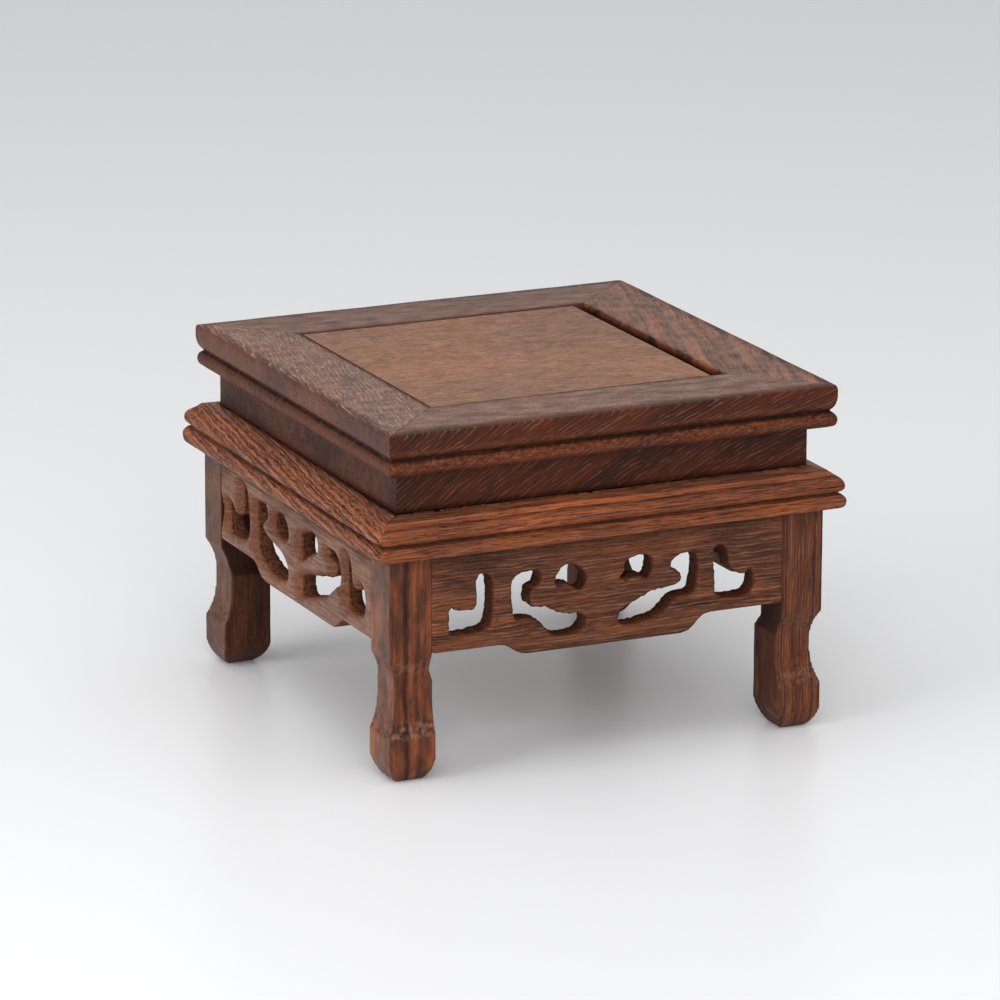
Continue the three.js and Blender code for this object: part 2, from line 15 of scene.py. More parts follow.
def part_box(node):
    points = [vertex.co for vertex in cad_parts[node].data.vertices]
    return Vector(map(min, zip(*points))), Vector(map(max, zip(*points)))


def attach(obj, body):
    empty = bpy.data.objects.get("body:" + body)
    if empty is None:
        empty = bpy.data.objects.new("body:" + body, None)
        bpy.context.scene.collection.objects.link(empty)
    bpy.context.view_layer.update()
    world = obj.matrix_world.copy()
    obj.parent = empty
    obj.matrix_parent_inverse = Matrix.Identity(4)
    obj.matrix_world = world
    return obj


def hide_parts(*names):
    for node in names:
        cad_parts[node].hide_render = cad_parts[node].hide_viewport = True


bl_info = {
    "name": "Scroll Apron Display Stand",
    "version": (1, 0, 0),
    "blender": (4, 5, 0),
    "location": "View3D > Sidebar > Stand",
    "description": "Dresses a joined hardwood display stand: mouldings, chiselled aprons, legs and grain",
    "category": "Add Mesh",
}

MM = 0.001
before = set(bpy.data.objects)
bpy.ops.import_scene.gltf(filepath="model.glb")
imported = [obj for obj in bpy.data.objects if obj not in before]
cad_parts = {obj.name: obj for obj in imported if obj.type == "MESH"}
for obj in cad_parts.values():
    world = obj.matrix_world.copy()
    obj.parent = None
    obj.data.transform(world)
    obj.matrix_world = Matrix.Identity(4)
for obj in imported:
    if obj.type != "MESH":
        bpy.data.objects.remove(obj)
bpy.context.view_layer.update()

SIDES = ("front", "left", "back", "right")
# How far each side is turned from the back, whose stick runs along +X with its face to +Y.
SIDE_TURN = {"back": 0.0, "left": math.pi / 2, "front": math.pi, "right": -math.pi / 2}
CORNERS = ("front_left", "front_right", "back_left", "back_right")

# The photograph's camera: its place in the stand's frame, how it is turned, and its lens.
CAMERA_PLACE = Vector((-513.6, -1100.1, 381.0)) * MM
CAMERA_YAW = 0.4354
CAMERA_PITCH = 0.2726
CAMERA_ROLL = 0.004325
CAMERA_LENS = 218.05
SENSOR_WIDTH = 36.0


def frame_size(node, end, axis):
    """How far a node's box reaches in the frame, in millimetres, at its low end 0 or its high end 1."""
    return round(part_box(node)[end]["xyz".index(axis)] / MM, 2)


# The tiers, in millimetres from the table and from the middle of the stand.
LEG_HEIGHT = frame_size("lower_moulding_right", 0, "z")
WAIST_BASE = frame_size("top_rail_front", 0, "z")
TOP_HEIGHT = frame_size("top_rail_front", 1, "z")
MOULDING_HALF = frame_size("lower_moulding_right", 1, "x")
BODY_HALF = frame_size("apron_right", 1, "x")
WAIST_HALF = 45.75
LEDGE_HALF = 49.0
# Profile of the top rails: the edge, its groove and the bead, from the top down.
EDGE_HEIGHT = 5.2
ARRIS = (0.6, 1.1)
EDGE_ROUND_HEIGHT = 2.8
EDGE_GROOVE_DEPTH = 1.3
EDGE_GROOVE_HEIGHT = 0.4
BEAD_HEIGHT = 3.2
PANEL_GROOVE_TOP = 1.8
PANEL_GROOVE_BASE = 4.8
PANEL_GROOVE_DEPTH = 4.5
BEAD_BASE = TOP_HEIGHT - EDGE_HEIGHT - EDGE_GROOVE_HEIGHT - BEAD_HEIGHT
# Profile of the lower moulding, from its base up.
LOWER_BEAD_HEIGHT = 3.2
LOWER_BEAD_ROUND = 1.0
NOSE_SETBACK = 0.25
NOSE_HEIGHT = 3.0
NOSE_ROUND = 0.8
MOULDING_GROOVE_DEPTH = 1.45
LEDGE_FALL = 0.5
LEDGE_GAP = 0.1
LEDGE_RISE = {"front": 0.0, "left": 0.1, "back": 0.1, "right": 0.0}
# Towards the back left corner the moulding was planed higher: heights over its base, and how much there.
MOULDING_LIFT = ((0.0, 3.2, 5.0), (0.0, 0.8, 1.0))
# The longest stretch of a profile between two points of its mesh.
PROFILE_STEP = 1.2
# The mitres are pressed shut: what is left of the joint is a hair.
MITRE_GAP = 0.02
# The mitred corners are rubbed round over this width on either side of the joint.
CORNER_WEAR_WIDTH = 1.4
# The left rail was rubbed back by this much along its whole edge.
LEFT_RAIL_WEAR = 0.15
# The panel's edges are eased by this much. Its left and right edges lie further right than in the CAD, and
# its front edge further back, by the skew more at its right end.
PANEL_EASE = 0.4
PANEL_SHIFT = {"left": 0.2, "right": 0.15, "front": 0.25}
PANEL_SKEW = 0.2
# The aprons' openings lie this near their middle and this low, and their lower edge ends at this height.
OPENINGS_REACH = 38.6
OPENINGS_TOP = 45.8
LOWER_EDGE_TOP = 29.3
# The chisel leaned over on these two boards, so their openings widen like funnels.
FUNNEL_SIDES = ("left", "right")
# The even mesh and its softening eat this much off the walls and off the ends, which is put back.
WALL_LOSS = 0.2
END_LOSS = 0.12
# Dark patches run along the top of the boards: they set in over these heights.
PATCH_HEIGHTS = (42.5, 45.5)
# Heights of the pitted bands at both ends of a leg's hollow, and of the shoulder under the aprons.
UPPER_BAND = 24.2
LOWER_BAND = 11.0
LEG_SHOULDER = 20.3
# How much painted sheen, pale and grey, lies on the left faces of these legs.
LEG_SHEEN = {"front_left": 0.5, "back_left": 0.35}

# A face counts as level between these heights of its normal.
LEVEL_FACE = (0.85, 0.97)
# Noise keeps near its middle, and this much contrast takes it to the full range of colours.
NOISE_STRETCH = 3.4

# The floor reaches this far from the stand, in metres, past all that the camera sees.
FLOOR_HALF = 6.0
# Each softbox: where it hangs, where it points and its two sides, in metres.
SOFTBOXES = {
    "top": ((-0.1, -0.18, 0.95), (0, 0, 0), (1.0, 1.0)),
    "front": ((-0.35, -1.0, 0.55), (0, 0, 0), (0.7, 0.7)),
    "side": ((-0.8, -0.1, 0.35), (0, 0, 0.05), (0.5, 0.4)),
}


def linear(hex_colour):
    """An sRGB hex colour as linear red, green, blue and alpha."""
    parts = [int(hex_colour[i : i + 2], 16) / 255 for i in (1, 3, 5)]
    return [p / 12.92 if p <= 0.04045 else ((p + 0.055) / 1.055) ** 2.4 for p in parts] + [1.0]


def colour_property(name, description, hex_colour):
    default = linear(hex_colour)[:3]
    return bpy.props.FloatVectorProperty(
        name=name, description=description, subtype="COLOR", size=3, min=0, max=1, default=default
    )


def length_property(name, description, millimetres):
    return bpy.props.FloatProperty(
        name=name, description=description, subtype="DISTANCE", unit="LENGTH", precision=5, min=0,
        default=millimetres * MM,
    )


def power_property(name, description, watts):
    return bpy.props.FloatProperty(name=name, description=description, unit="POWER", default=watts)


class StandWood(bpy.types.PropertyGroup):
    """The colours of the wood"""

    rail_front: colour_property("Front rail", "Pale lines of the front rail", "#602C11")
    rail_left: colour_property("Left rail", "Pale lines of the left rail", "#744B3D")
    rail_back: colour_property("Back rail", "Pale lines of the back rail", "#624A42")
    rail_right: colour_property("Right rail", "Pale lines of the right rail", "#845238")
    panel: colour_property("Panel", "Pale wood of the panel", "#A06840")
    moulding: colour_property("Moulding", "Pale wood of the lower moulding", "#A6603A")
    apron_front: colour_property("Front apron", "Pale lines of the front and back aprons", "#835034")
    apron_side: colour_property("Side apron", "Pale lines of the left and right aprons", "#946A54")
    leg: colour_property("Leg", "Pale lines of the legs", "#7E4A30")
    dark_band: colour_property("Dark band", "The dense dark wood between the pale lines", "#2E160E")
    # Painted sheen: a pale grey film on level faces and on some left faces, standing in for the room's
    # reflection; it also paints the legs' pitted bands pale.
    painted_sheen: colour_property("Bloom", "The film of old wax and dust on what faces up", "#AB8A7A")
    fresh_cut: colour_property("Fresh cut", "Wood that the chisel cut across, never oiled smooth", "#86492B")
    # Dirt and painted shade: dust and old oil in grooves and joints, and the shade of grooves, gaps, recesses
    # and what lies under overhangs.
    soil: colour_property("Soil", "Dust and old oil in grooves and joints", "#160A06")


class StandCarving(bpy.types.PropertyGroup):
    """How the wood was cut"""

    hand_wave: length_property("Hand wave", "How far a planed face wanders from true", 0.05)
    chisel_depth: length_property("Chisel depth", "How rough the walls of the openings are", 0.2)
    groove_chatter: length_property("Groove chatter", "How rough the scratched grooves are", 0.14)
    corner_wear: length_property("Corner wear", "How far the mitred corners are rubbed back", 0.32)
    voxel: length_property("Voxel", "The mesh size of the carved pieces", 0.3)
    stick_step: length_property("Stick step", "The mesh size along rails and mouldings", 0.4)
    rim_width: length_property("Rim width", "How wide the rounded rims of the openings are", 1.3)
    rim_drop: length_property("Rim drop", "How far the rims fall back into the openings", 0.8)


class StandStage(bpy.types.PropertyGroup):
    """The floor and the light"""

    floor: colour_property("Floor", "The pale floor", "#F0F1F3")
    top_light: power_property("Top light", "Power of the softbox over the stand", 3.7)
    side_light: power_property("Side light", "Power of the softbox on the left", 2.8)
    front_light: power_property("Front light", "Power of the softbox before the stand", 4.9)
    sky: bpy.props.FloatProperty(name="Sky", description="Strength of the room's even light", default=0.54)


@dataclass
class Figure:
    """How the wood of one piece is drawn. Lengths are in millimetres and angles in radians.

    grain is the axis that the fibres follow, heart the way from the middle of the stand to the heart of
    the tree across the grain, lean how far the fibres lean from that axis and sweep how fast they curve,
    as one over a radius. ground is the share of pale wood, upright and level how much of that pale ground
    and its hairlines shows on upright and on level faces, which lightens or darkens whole faces by the way
    they point as painted shade, and raw how light the cut wood is. The rest is how large, and how strong,
    the bands, pale lines, fibres, pores, blotches and painted sheen are.
    """

    grain: str
    heart: tuple
    lean: tuple = (0.0, 0.0)
    sweep: float = 0.0
    wander: float = 0.8
    waver: float = 0.15
    band: float = 2.2
    banding: float = 0.4
    line: float = 0.9
    dash: float = 8.0
    lining: float = 0.5
    fibre: tuple = (5.0, 0.3)
    fleck: float = 0.5
    pores: float = 0.6
    ground: float = 0.5
    blotch: float = 0.5
    blotch_size: float = 9.0
    upright: float = 1.0
    level: float = 1.0
    raw: float = 1.0
    painted_sheen: float = 0.3
    rough: float = 0.45


# Nodes


def add(tree, kind, *inputs, out=0, **named):
    """Add a node and give back one of its outputs, or the node itself where out is None.

    Inputs come in order. A name in small letters is a setting of the node, in6 is its input of that
    number, and any other name is an input's own.
    """
    node = tree.nodes.new(kind)
    given = dict(enumerate(inputs))
    for name, value in named.items():
        if name[:2] == "in" and name[2:].isdigit():
            given[int(name[2:])] = value
        elif name.islower():
            setattr(node, name, value)
        else:
            given[name.replace("_", " ")] = value
    for key, value in given.items():
        if isinstance(value, bpy.types.NodeSocket):
            tree.links.new(value, node.inputs[key])
        else:
            node.inputs[key].default_value = value
    return node if out is None else node.outputs[out]


MATH = "ShaderNodeMath"
VECTOR = "ShaderNodeVectorMath"
MAPPING = "ShaderNodeMapping"
NOISE = "ShaderNodeTexNoise"
RANGE = "ShaderNodeMapRange"
MIX = "ShaderNodeMix"


def empty_tree(holder):
    """The node tree of a new material or world, without the nodes that it comes with."""
    holder.use_nodes = True
    holder.node_tree.nodes.clear()
    return holder.node_tree


def fibre_space(tree, place, figure, seed):
    """The place in millimetres along and across the fibres, first without and then with the wood's bends."""
    apart = add(tree, "ShaderNodeSeparateXYZ", place, out=None).outputs
    order = {"X": "XYZ", "Y": "YXZ", "Z": "ZXY"}[figure.grain]
    turned = add(tree, "ShaderNodeCombineXYZ", *(apart[axis] for axis in order))
    straight = add(tree, MAPPING, turned, Rotation=(0, *figure.lean), Scale=(1 / MM,) * 3)
    # The fibres curve as the tree did.
    along = add(tree, "ShaderNodeSeparateXYZ", straight)
    bow = add(tree, MATH, along, along, operation="MULTIPLY")
    bow = add(tree, MATH, bow, figure.sweep / 2, operation="MULTIPLY")
    curved = add(tree, VECTOR, straight, add(tree, "ShaderNodeCombineXYZ", 0, 0, bow))
    coords = add(tree, VECTOR, curved, (seed * 31.7, -figure.heart[0], -figure.heart[1]))
    # Slow bends over 20 to 40 mm, and short waves of 1 to 4 mm.
    bent = coords
    for scale, amount in (((0.035, 0.11, 0.11), figure.wander), ((0.25, 0.6, 0.6), figure.waver)):
        stretched = add(tree, MAPPING, coords, Scale=scale)
        waves = add(tree, NOISE, stretched, Scale=1.0, Detail=2.0, Roughness=0.55, out="Color")
        waves = add(tree, VECTOR, waves, (0.5,) * 3, operation="SUBTRACT")
        bent = add(tree, VECTOR, waves, (0, 2 * amount, 2 * amount), bent, operation="MULTIPLY_ADD")
    return coords, bent


def growth_lines(tree, bent, figure):
    """Growth bands of uneven width round the heart of the tree, and pale hairlines along them."""
    across = add(tree, VECTOR, bent, (0, 1, 1), operation="MULTIPLY")
    radius = add(tree, VECTOR, across, operation="LENGTH", out="Value")
    rings = add(tree, MATH, radius, figure.band, operation="DIVIDE")
    bands = add(tree, NOISE, noise_dimensions="1D", W=rings, Scale=1.0, Detail=2.0, Roughness=0.6)
    # A hairline is a quarter as wide as they are apart, breaks off and sets in again. Some pieces have them
    # coarser than real: the wood has two to four a millimetre, and the photo runs them together.
    along = add(tree, MATH, add(tree, "ShaderNodeSeparateXYZ", bent), figure.dash, operation="DIVIDE")
    rings = add(tree, MATH, radius, figure.line, operation="DIVIDE")
    breaks = add(tree, "ShaderNodeCombineXYZ", along, add(tree, MATH, rings, 0.9, operation="MULTIPLY"))
    breaks = add(tree, NOISE, breaks, noise_dimensions="2D", Scale=1.0, Detail=2.0, Roughness=0.6)
    drift = add(tree, MATH, breaks, 9.0, operation="MULTIPLY")
    phase = add(tree, MATH, rings, math.tau, drift, operation="MULTIPLY_ADD")
    hairs = add(tree, RANGE, add(tree, MATH, phase, operation="SINE"), 0.3, 0.95)
    lines = add(tree, MATH, hairs, add(tree, RANGE, breaks, 0.4, 0.65), operation="MULTIPLY")
    return bands, lines


def striped_hardwood(name, pale, figure, seed):
    """Dense striped hardwood, planed, scraped and oiled, drawn as a solid around the heart of the tree.

    To the eye it is satin brown with darker growth bands, fine pale lines that break off every few
    millimetres, dark open pores along the fibres, larger violet and ochre blotches, and a thin pale painted
    sheen on what faces up and on some left faces, standing in for the room's reflection. Cut walls are
    raw and orange, and the grooves, joints, gaps and recesses hold black dirt and painted shade.
    """
    material = bpy.data.materials.new("Oiled striped hardwood, " + name)
    tree = empty_tree(material)
    wood = bpy.context.scene.stand_wood
    pale, dark, soil, painted_sheen = ([*colour, 1.0] for colour in (pale, wood.dark_band, wood.soil, wood.painted_sheen))

    place = add(tree, "ShaderNodeTexCoord", out="Object")
    coords, bent = fibre_space(tree, place, figure, seed)
    bands, lines = growth_lines(tree, bent, figure)
    # Fibres: streaks a few millimetres long and about 0.3 mm wide.
    long, thick = figure.fibre
    stretched = add(tree, MAPPING, bent, Scale=(1 / long, 1 / thick, 1 / thick))
    fibres = add(tree, NOISE, stretched, Scale=1.0, Detail=3.0, Roughness=0.6)
    # Pores: dark dashes 2 to 4 mm long and 0.2 mm wide.
    stretched = add(tree, MAPPING, bent, Scale=(0.35, 4.6, 4.6))
    pores = add(tree, NOISE, stretched, Scale=1.0, Detail=1.0)
    pores = add(tree, RANGE, pores, 0.58, 0.68)
    # Blotches, where the wood turns violet or ochre, longer along the grain.
    size = figure.blotch_size
    stretched = add(tree, MAPPING, coords, Scale=(0.35 / size, 1 / size, 1 / size))
    blotches = add(tree, NOISE, stretched, Scale=1.0, Detail=2.0)
    lift = add(tree, "ShaderNodeSeparateXYZ", add(tree, "ShaderNodeNewGeometry", out="Normal"), out="Z")
    flat = add(tree, RANGE, lift, *LEVEL_FACE)
    # Painted shade: upright and level faces show less or more pale ground by the way they point, as each
    # piece's figure sets.
    shown = add(tree, RANGE, flat, 0.0, 1.0, figure.upright, figure.level)

    even, fine = (
        add(tree, MATH, pattern, NOISE_STRETCH * swing, -NOISE_STRETCH / 2 * swing, operation="MULTIPLY_ADD")
        for pattern, swing in ((bands, figure.banding), (fibres, figure.fleck))
    )
    share = add(tree, MATH, even, fine)
    share = add(tree, MATH, share, shown, figure.ground, operation="MULTIPLY_ADD", use_clamp=True)
    colour = add(tree, MIX, data_type="RGBA", in0=share, in6=dark, in7=pale, out=2)
    tint = add(tree, RANGE, blotches, 0.4, 0.6)
    violet = (0.6, 0.58, 0.68, 1)
    ochre = (1.3, 1.12, 0.95, 1)
    tint = add(tree, MIX, data_type="RGBA", in0=tint, in6=violet, in7=ochre, out=2)
    colour = add(
        tree, MIX, data_type="RGBA", blend_type="MULTIPLY", in0=figure.blotch, in6=colour, in7=tint, out=2
    )
    hollow = add(tree, MATH, pores, figure.pores, operation="MULTIPLY")
    deep = [c * 0.4 for c in wood.dark_band] + [1.0]
    # The painted sheen is uneven: it shows the fibres and mottles over 3 to 6 mm.
    dust = add(tree, "ShaderNodeAttribute", attribute_name="dust", out="Fac")
    painted_sheen_amount = add(tree, MATH, dust, figure.painted_sheen, operation="MULTIPLY")
    mottle = add(tree, MAPPING, place, Rotation=(0, 0, 0.8), Scale=(0.16 / MM, 0.4 / MM, 0.4 / MM))
    mottle = add(tree, NOISE, mottle, Scale=1.0, Detail=2.0)
    for pattern, spread in ((mottle, 0.4), (fibres, 0.5)):
        uneven = add(tree, RANGE, pattern, 0.35, 0.65, 1 - spread, 1 + spread)
        painted_sheen_amount = add(tree, MATH, painted_sheen_amount, uneven, operation="MULTIPLY")
    # Under the painted sheen of level faces the hairlines take a lighter sheen colour, and elsewhere the pale
    # wood's.
    hair = add(tree, MATH, lines, figure.lining, operation="MULTIPLY")
    hair = add(tree, MATH, hair, shown, operation="MULTIPLY", use_clamp=True)
    bare = [c * 1.25 + 0.05 for c in pale[:3]] + [1.0]
    painted_sheen_hair = [c * 1.25 for c in wood.painted_sheen] + [1.0]
    bright = add(tree, MIX, data_type="RGBA", in0=flat, in6=bare, in7=painted_sheen_hair, out=2)
    # Where the chisel went across the fibres the wood is raw, in strokes under half a millimetre wide.
    cut = add(tree, "ShaderNodeAttribute", attribute_name="cut", out="Fac")
    strokes = add(tree, MAPPING, place, Rotation=(0.6, 0.5, 0.7), Scale=(0.4 / MM, 2.3 / MM, 2.3 / MM))
    strokes = add(tree, NOISE, strokes, Scale=1.0, Detail=3.0, Roughness=0.65)
    shade = add(tree, RANGE, strokes, 0.36, 0.64)
    raw_dark, raw_light = ([c * figure.raw * light for c in wood.fresh_cut] + [1.0] for light in (0.3, 1.3))
    raw = add(tree, MIX, data_type="RGBA", in0=shade, in6=raw_dark, in7=raw_light, out=2)
    # Dirt together with painted shade, as each vertex carries it.
    soil_and_shade_amount = add(tree, "ShaderNodeAttribute", attribute_name="soil", out="Fac")
    # What lies over the banded wood, from the pores through the painted sheen up to the dirt and painted
    # shade, and how much of it shows.
    layers = ((hollow, deep), (painted_sheen_amount, painted_sheen), (hair, bright), (cut, raw), (soil_and_shade_amount, soil))
    for amount, layer in layers:
        colour = add(tree, MIX, data_type="RGBA", in0=amount, in6=colour, in7=layer, out=2)

    roughness = add(tree, MATH, fibres, 0.16, figure.rough - 0.08, operation="MULTIPLY_ADD")
    unoiled = add(tree, MATH, cut, soil_and_shade_amount, operation="MAXIMUM")
    roughness = add(tree, MATH, unoiled, 0.3, roughness, operation="MULTIPLY_ADD")
    height = add(tree, MATH, fibres, 0.8, operation="MULTIPLY")
    height = add(tree, MATH, pores, -0.9, height, operation="MULTIPLY_ADD")
    height = add(tree, MATH, lines, 0.6, height, operation="MULTIPLY_ADD")
    marks = add(tree, MATH, cut, strokes, operation="MULTIPLY")
    height = add(tree, MATH, marks, 3.0, height, operation="MULTIPLY_ADD")
    bump = add(tree, "ShaderNodeBump", Strength=0.55, Distance=0.08 * MM, Height=height)
    surface = "ShaderNodeBsdfPrincipled"
    oiled = add(tree, surface, Base_Color=colour, Roughness=roughness, Normal=bump, IOR=1.25)
    add(tree, "ShaderNodeOutputMaterial", Surface=oiled, out=None)
    return material


# Meshes


def linked(name, data):
    """A new object in the scene."""
    item = bpy.data.objects.new(name, data)
    bpy.context.scene.collection.objects.link(item)
    return item


def bare_copy(node):
    """A CAD node's solid as a clean mesh of its own, with its doubles merged."""
    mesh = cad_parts[node].data.copy()
    mesh.materials.clear()
    work = bmesh.new()
    work.from_mesh(mesh)
    bmesh.ops.remove_doubles(work, verts=work.verts, dist=0.002 * MM)
    bmesh.ops.recalc_face_normals(work, faces=work.faces)
    work.to_mesh(mesh)
    work.free()
    return mesh


def finished(source, name):
    """The evaluated mesh of an object with live modifiers, as a plain object. The source is removed."""
    depsgraph = bpy.context.evaluated_depsgraph_get()
    mesh = bpy.data.meshes.new_from_object(source.evaluated_get(depsgraph), depsgraph=depsgraph)
    bpy.data.objects.remove(source)
    mesh.name = name
    return linked(name, mesh)


def rows(items, name):
    """The vector of that name of each item, as the rows of an array."""
    values = np.empty(len(items) * 3, np.float32)
    items.foreach_get(name, values)
    return values.reshape(-1, 3).astype(float)


def positions(mesh):
    return rows(mesh.vertices, "co")


def directions(mesh):
    return rows(mesh.vertex_normals, "vector")


def set_positions(mesh, values):
    mesh.vertices.foreach_set("co", values.astype(np.float32).ravel())
    mesh.update()


def paint(mesh, name, values):
    """Keep one number from 0 to 1 for each vertex, for the material to read."""
    attribute = mesh.attributes.new(name, "FLOAT", "POINT")
    attribute.data.foreach_set("value", np.clip(values, 0, 1).astype(np.float32))


def noise_at(points, scale, seed):
    """Smooth noise between -1 and 1 at each point. The scale is the size of a bump, in metres."""
    offset = np.array([seed * 17.3, seed * 5.9, seed * 11.1])
    scaled = points / np.asarray(scale) + offset
    return np.array([noise.noise(Vector(p)) for p in scaled])


def smooth_step(values, low, high):
    share = np.clip((values - low) / (high - low), 0, 1)
    return share * share * (3 - 2 * share)


def side_terms(points, side):
    """Distance out from the stand's middle and distance along the side, for points in the stand's frame."""
    turn = SIDE_TURN[side]
    out = -math.sin(turn) * points[:, 0] + math.cos(turn) * points[:, 1]
    along = math.cos(turn) * points[:, 0] + math.sin(turn) * points[:, 1]
    return out, along


def outward(side):
    turn = SIDE_TURN[side]
    return np.array([-math.sin(turn), math.cos(turn), 0.0])


def reach(node, side):
    """How far out a node's inner and outer face lie on its side, in millimetres."""
    corners = np.array(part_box(node)) / MM
    out, _ = side_terms(corners, side)
    return min(out), max(out)


def settle(piece, node, body, material, smooth=True):
    """Give a finished piece its shading, its body and its material, and hide the node that it stands for."""
    mesh = piece.data
    mesh.materials.clear()
    mesh.materials.append(material)
    for polygon in mesh.polygons:
        polygon.use_smooth = smooth
        polygon.material_index = 0
    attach(piece, body)
    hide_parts(node)


# Moulded sticks: rails and lower moulding


def arc(start, corner, end, steps=6):
    """Points of a round corner, without its start."""
    shares = [i / steps for i in range(1, steps + 1)]
    return [
        tuple((1 - t) ** 2 * s + 2 * t * (1 - t) * c + t * t * e for s, c, e in zip(start, corner, end))
        for t in shares
    ]


def rail_profile(inner, outer, setback):
    """Outline of a top rail in millimetres: distance from the middle of the stand, height over the table."""
    edge_base = TOP_HEIGHT - EDGE_HEIGHT
    bead_top = edge_base - EDGE_GROOVE_HEIGHT
    bead_middle = bead_top - BEAD_HEIGHT / 2
    floor = outer - EDGE_GROOVE_DEPTH
    bead = outer - setback
    eased = 0.15
    points = [(inner, WAIST_BASE), (WAIST_HALF - eased, WAIST_BASE), (WAIST_HALF, WAIST_BASE + eased)]
    points += [(WAIST_HALF, BEAD_BASE - eased), (WAIST_HALF + eased, BEAD_BASE), (floor, BEAD_BASE)]
    points += arc(points[-1], (bead - 0.1, BEAD_BASE + 0.1), (bead, bead_middle))
    points += arc(points[-1], (bead - 0.1, bead_top - 0.3), (floor, bead_top))
    points += [(floor, edge_base)]
    points += arc(points[-1], (outer - 0.25, edge_base + 0.5), (outer, edge_base + EDGE_ROUND_HEIGHT))
    points += [(outer, TOP_HEIGHT - ARRIS[1])]
    points += arc(points[-1], (outer, TOP_HEIGHT), (outer - ARRIS[0], TOP_HEIGHT))
    points += [(inner + eased, TOP_HEIGHT), (inner, TOP_HEIGHT - eased)]
    ceiling, sill = TOP_HEIGHT - PANEL_GROOVE_TOP, TOP_HEIGHT - PANEL_GROOVE_BASE
    end = inner + PANEL_GROOVE_DEPTH
    points += [(inner, ceiling), (end, ceiling), (end, sill), (inner, sill)]
    return points


def moulding_profile(side):
    """Outline of a strip of the lower moulding, in the same terms."""
    inner, _ = reach("lower_moulding_" + side, side)
    outer = MOULDING_HALF
    groove = LEG_HEIGHT + LOWER_BEAD_HEIGHT
    bead_middle = LEG_HEIGHT + LOWER_BEAD_HEIGHT / 2
    nose = outer - NOSE_SETBACK
    nose_widest = groove + 1.4
    nose_top = groove + NOSE_HEIGHT
    foot = WAIST_BASE - LEDGE_GAP
    ledge = foot + LEDGE_RISE[side]
    points = [(inner, LEG_HEIGHT), (outer - LOWER_BEAD_ROUND, LEG_HEIGHT)]
    points += arc(points[-1], (outer, LEG_HEIGHT), (outer, bead_middle))
    points += arc(points[-1], (outer - 0.05, groove - 0.7), (outer - MOULDING_GROOVE_DEPTH, groove - 0.1))
    points += arc((outer - MOULDING_GROOVE_DEPTH, groove + 0.1), (nose, groove + 0.45), (nose, nose_widest))
    points += arc(points[-1], (nose, nose_top - 0.65), (nose - NOSE_ROUND, nose_top))
    points += [(LEDGE_HALF + 0.15, ledge - LEDGE_FALL - 0.15), (LEDGE_HALF - 0.15, ledge - LEDGE_FALL + 0.05)]
    points += [(WAIST_HALF + LEDGE_GAP, ledge), (WAIST_HALF + LEDGE_GAP, foot), (inner, foot)]
    return points


def dense(points, step):
    """The closed outline with extra points, so that no edge is longer than the step, in millimetres."""
    result = []
    for (x0, y0), (x1, y1) in zip(points, points[1:] + points[:1]):
        count = max(1, math.ceil(math.hypot(x1 - x0, y1 - y0) / step))
        result += [(x0 + (x1 - x0) * i / count, y0 + (y1 - y0) * i / count) for i in range(count)]
    return result


def stick_tree():
    """Geometry Nodes that run a profile along a line and cut both ends to a mitre.

    Below the bead the mitre runs straight to the waist's corner.
    """
    tree = bpy.data.node_groups.new("Mitred stick", "GeometryNodeTree")
    kinds = {
        "Geometry": "Geometry",
        "Profile": "Object",
        "Count": "Int",
        "Outer": "Float",
        "Start reach": "Float",
        "End reach": "Float",
        "Start slope": "Float",
        "End slope": "Float",
        "Gap": "Float",
        "Bead base": "Float",
        "Turn": "Float",
        "Material": "Material",
    }
    for name, kind in kinds.items():
        tree.interface.new_socket(name, in_out="INPUT", socket_type="NodeSocket" + kind)
    tree.interface.new_socket("Geometry", in_out="OUTPUT", socket_type="NodeSocketGeometry")
    given = tree.nodes.new("NodeGroupInput").outputs
    line = add(tree, "GeometryNodeCurvePrimitiveLine", Start=(-1, 0, 0), End=(1, 0, 0))
    path = add(tree, "GeometryNodeResampleCurve", Curve=line, Count=given["Count"])
    drawn = add(tree, "GeometryNodeObjectInfo", Object=given["Profile"], out="Geometry")
    swept = add(tree, "GeometryNodeCurveToMesh", Curve=path, Profile_Curve=drawn, Fill_Caps=True)
    at = add(tree, "ShaderNodeSeparateXYZ", add(tree, "GeometryNodeInputPosition"), out=None).outputs
    is_end = add(tree, MATH, at["X"], 0.0, operation="GREATER_THAN")
    slope = add(tree, MIX, is_end, in2=given["Start slope"], in3=given["End slope"])
    corner = add(tree, MIX, is_end, in2=given["Start reach"], in3=given["End reach"])
    depth = add(tree, MATH, at["Y"], given["Outer"], operation="SUBTRACT")
    end = add(tree, MATH, depth, slope, corner, operation="MULTIPLY_ADD")
    is_above = add(tree, MATH, at["Z"], given["Bead base"], operation="GREATER_THAN")
    end = add(tree, MIX, is_above, in2=at["Y"], in3=end)
    end = add(tree, MATH, end, given["Gap"], operation="SUBTRACT")
    along = add(tree, MATH, at["X"], end, operation="MULTIPLY")
    cut = add(tree, "ShaderNodeCombineXYZ", along, at["Y"], at["Z"])
    placed = add(tree, "GeometryNodeSetPosition", Geometry=swept, Position=cut)
    turn = add(tree, "ShaderNodeCombineXYZ", Z=given["Turn"])
    turned = add(tree, "GeometryNodeTransform", Geometry=placed, Rotation=turn)
    real = add(tree, "GeometryNodeRealizeInstances", Geometry=turned)
    made = add(tree, "GeometryNodeSetMaterial", Geometry=real, Material=given["Material"])
    tree.links.new(made, tree.nodes.new("NodeGroupOutput").inputs[0])
    return tree


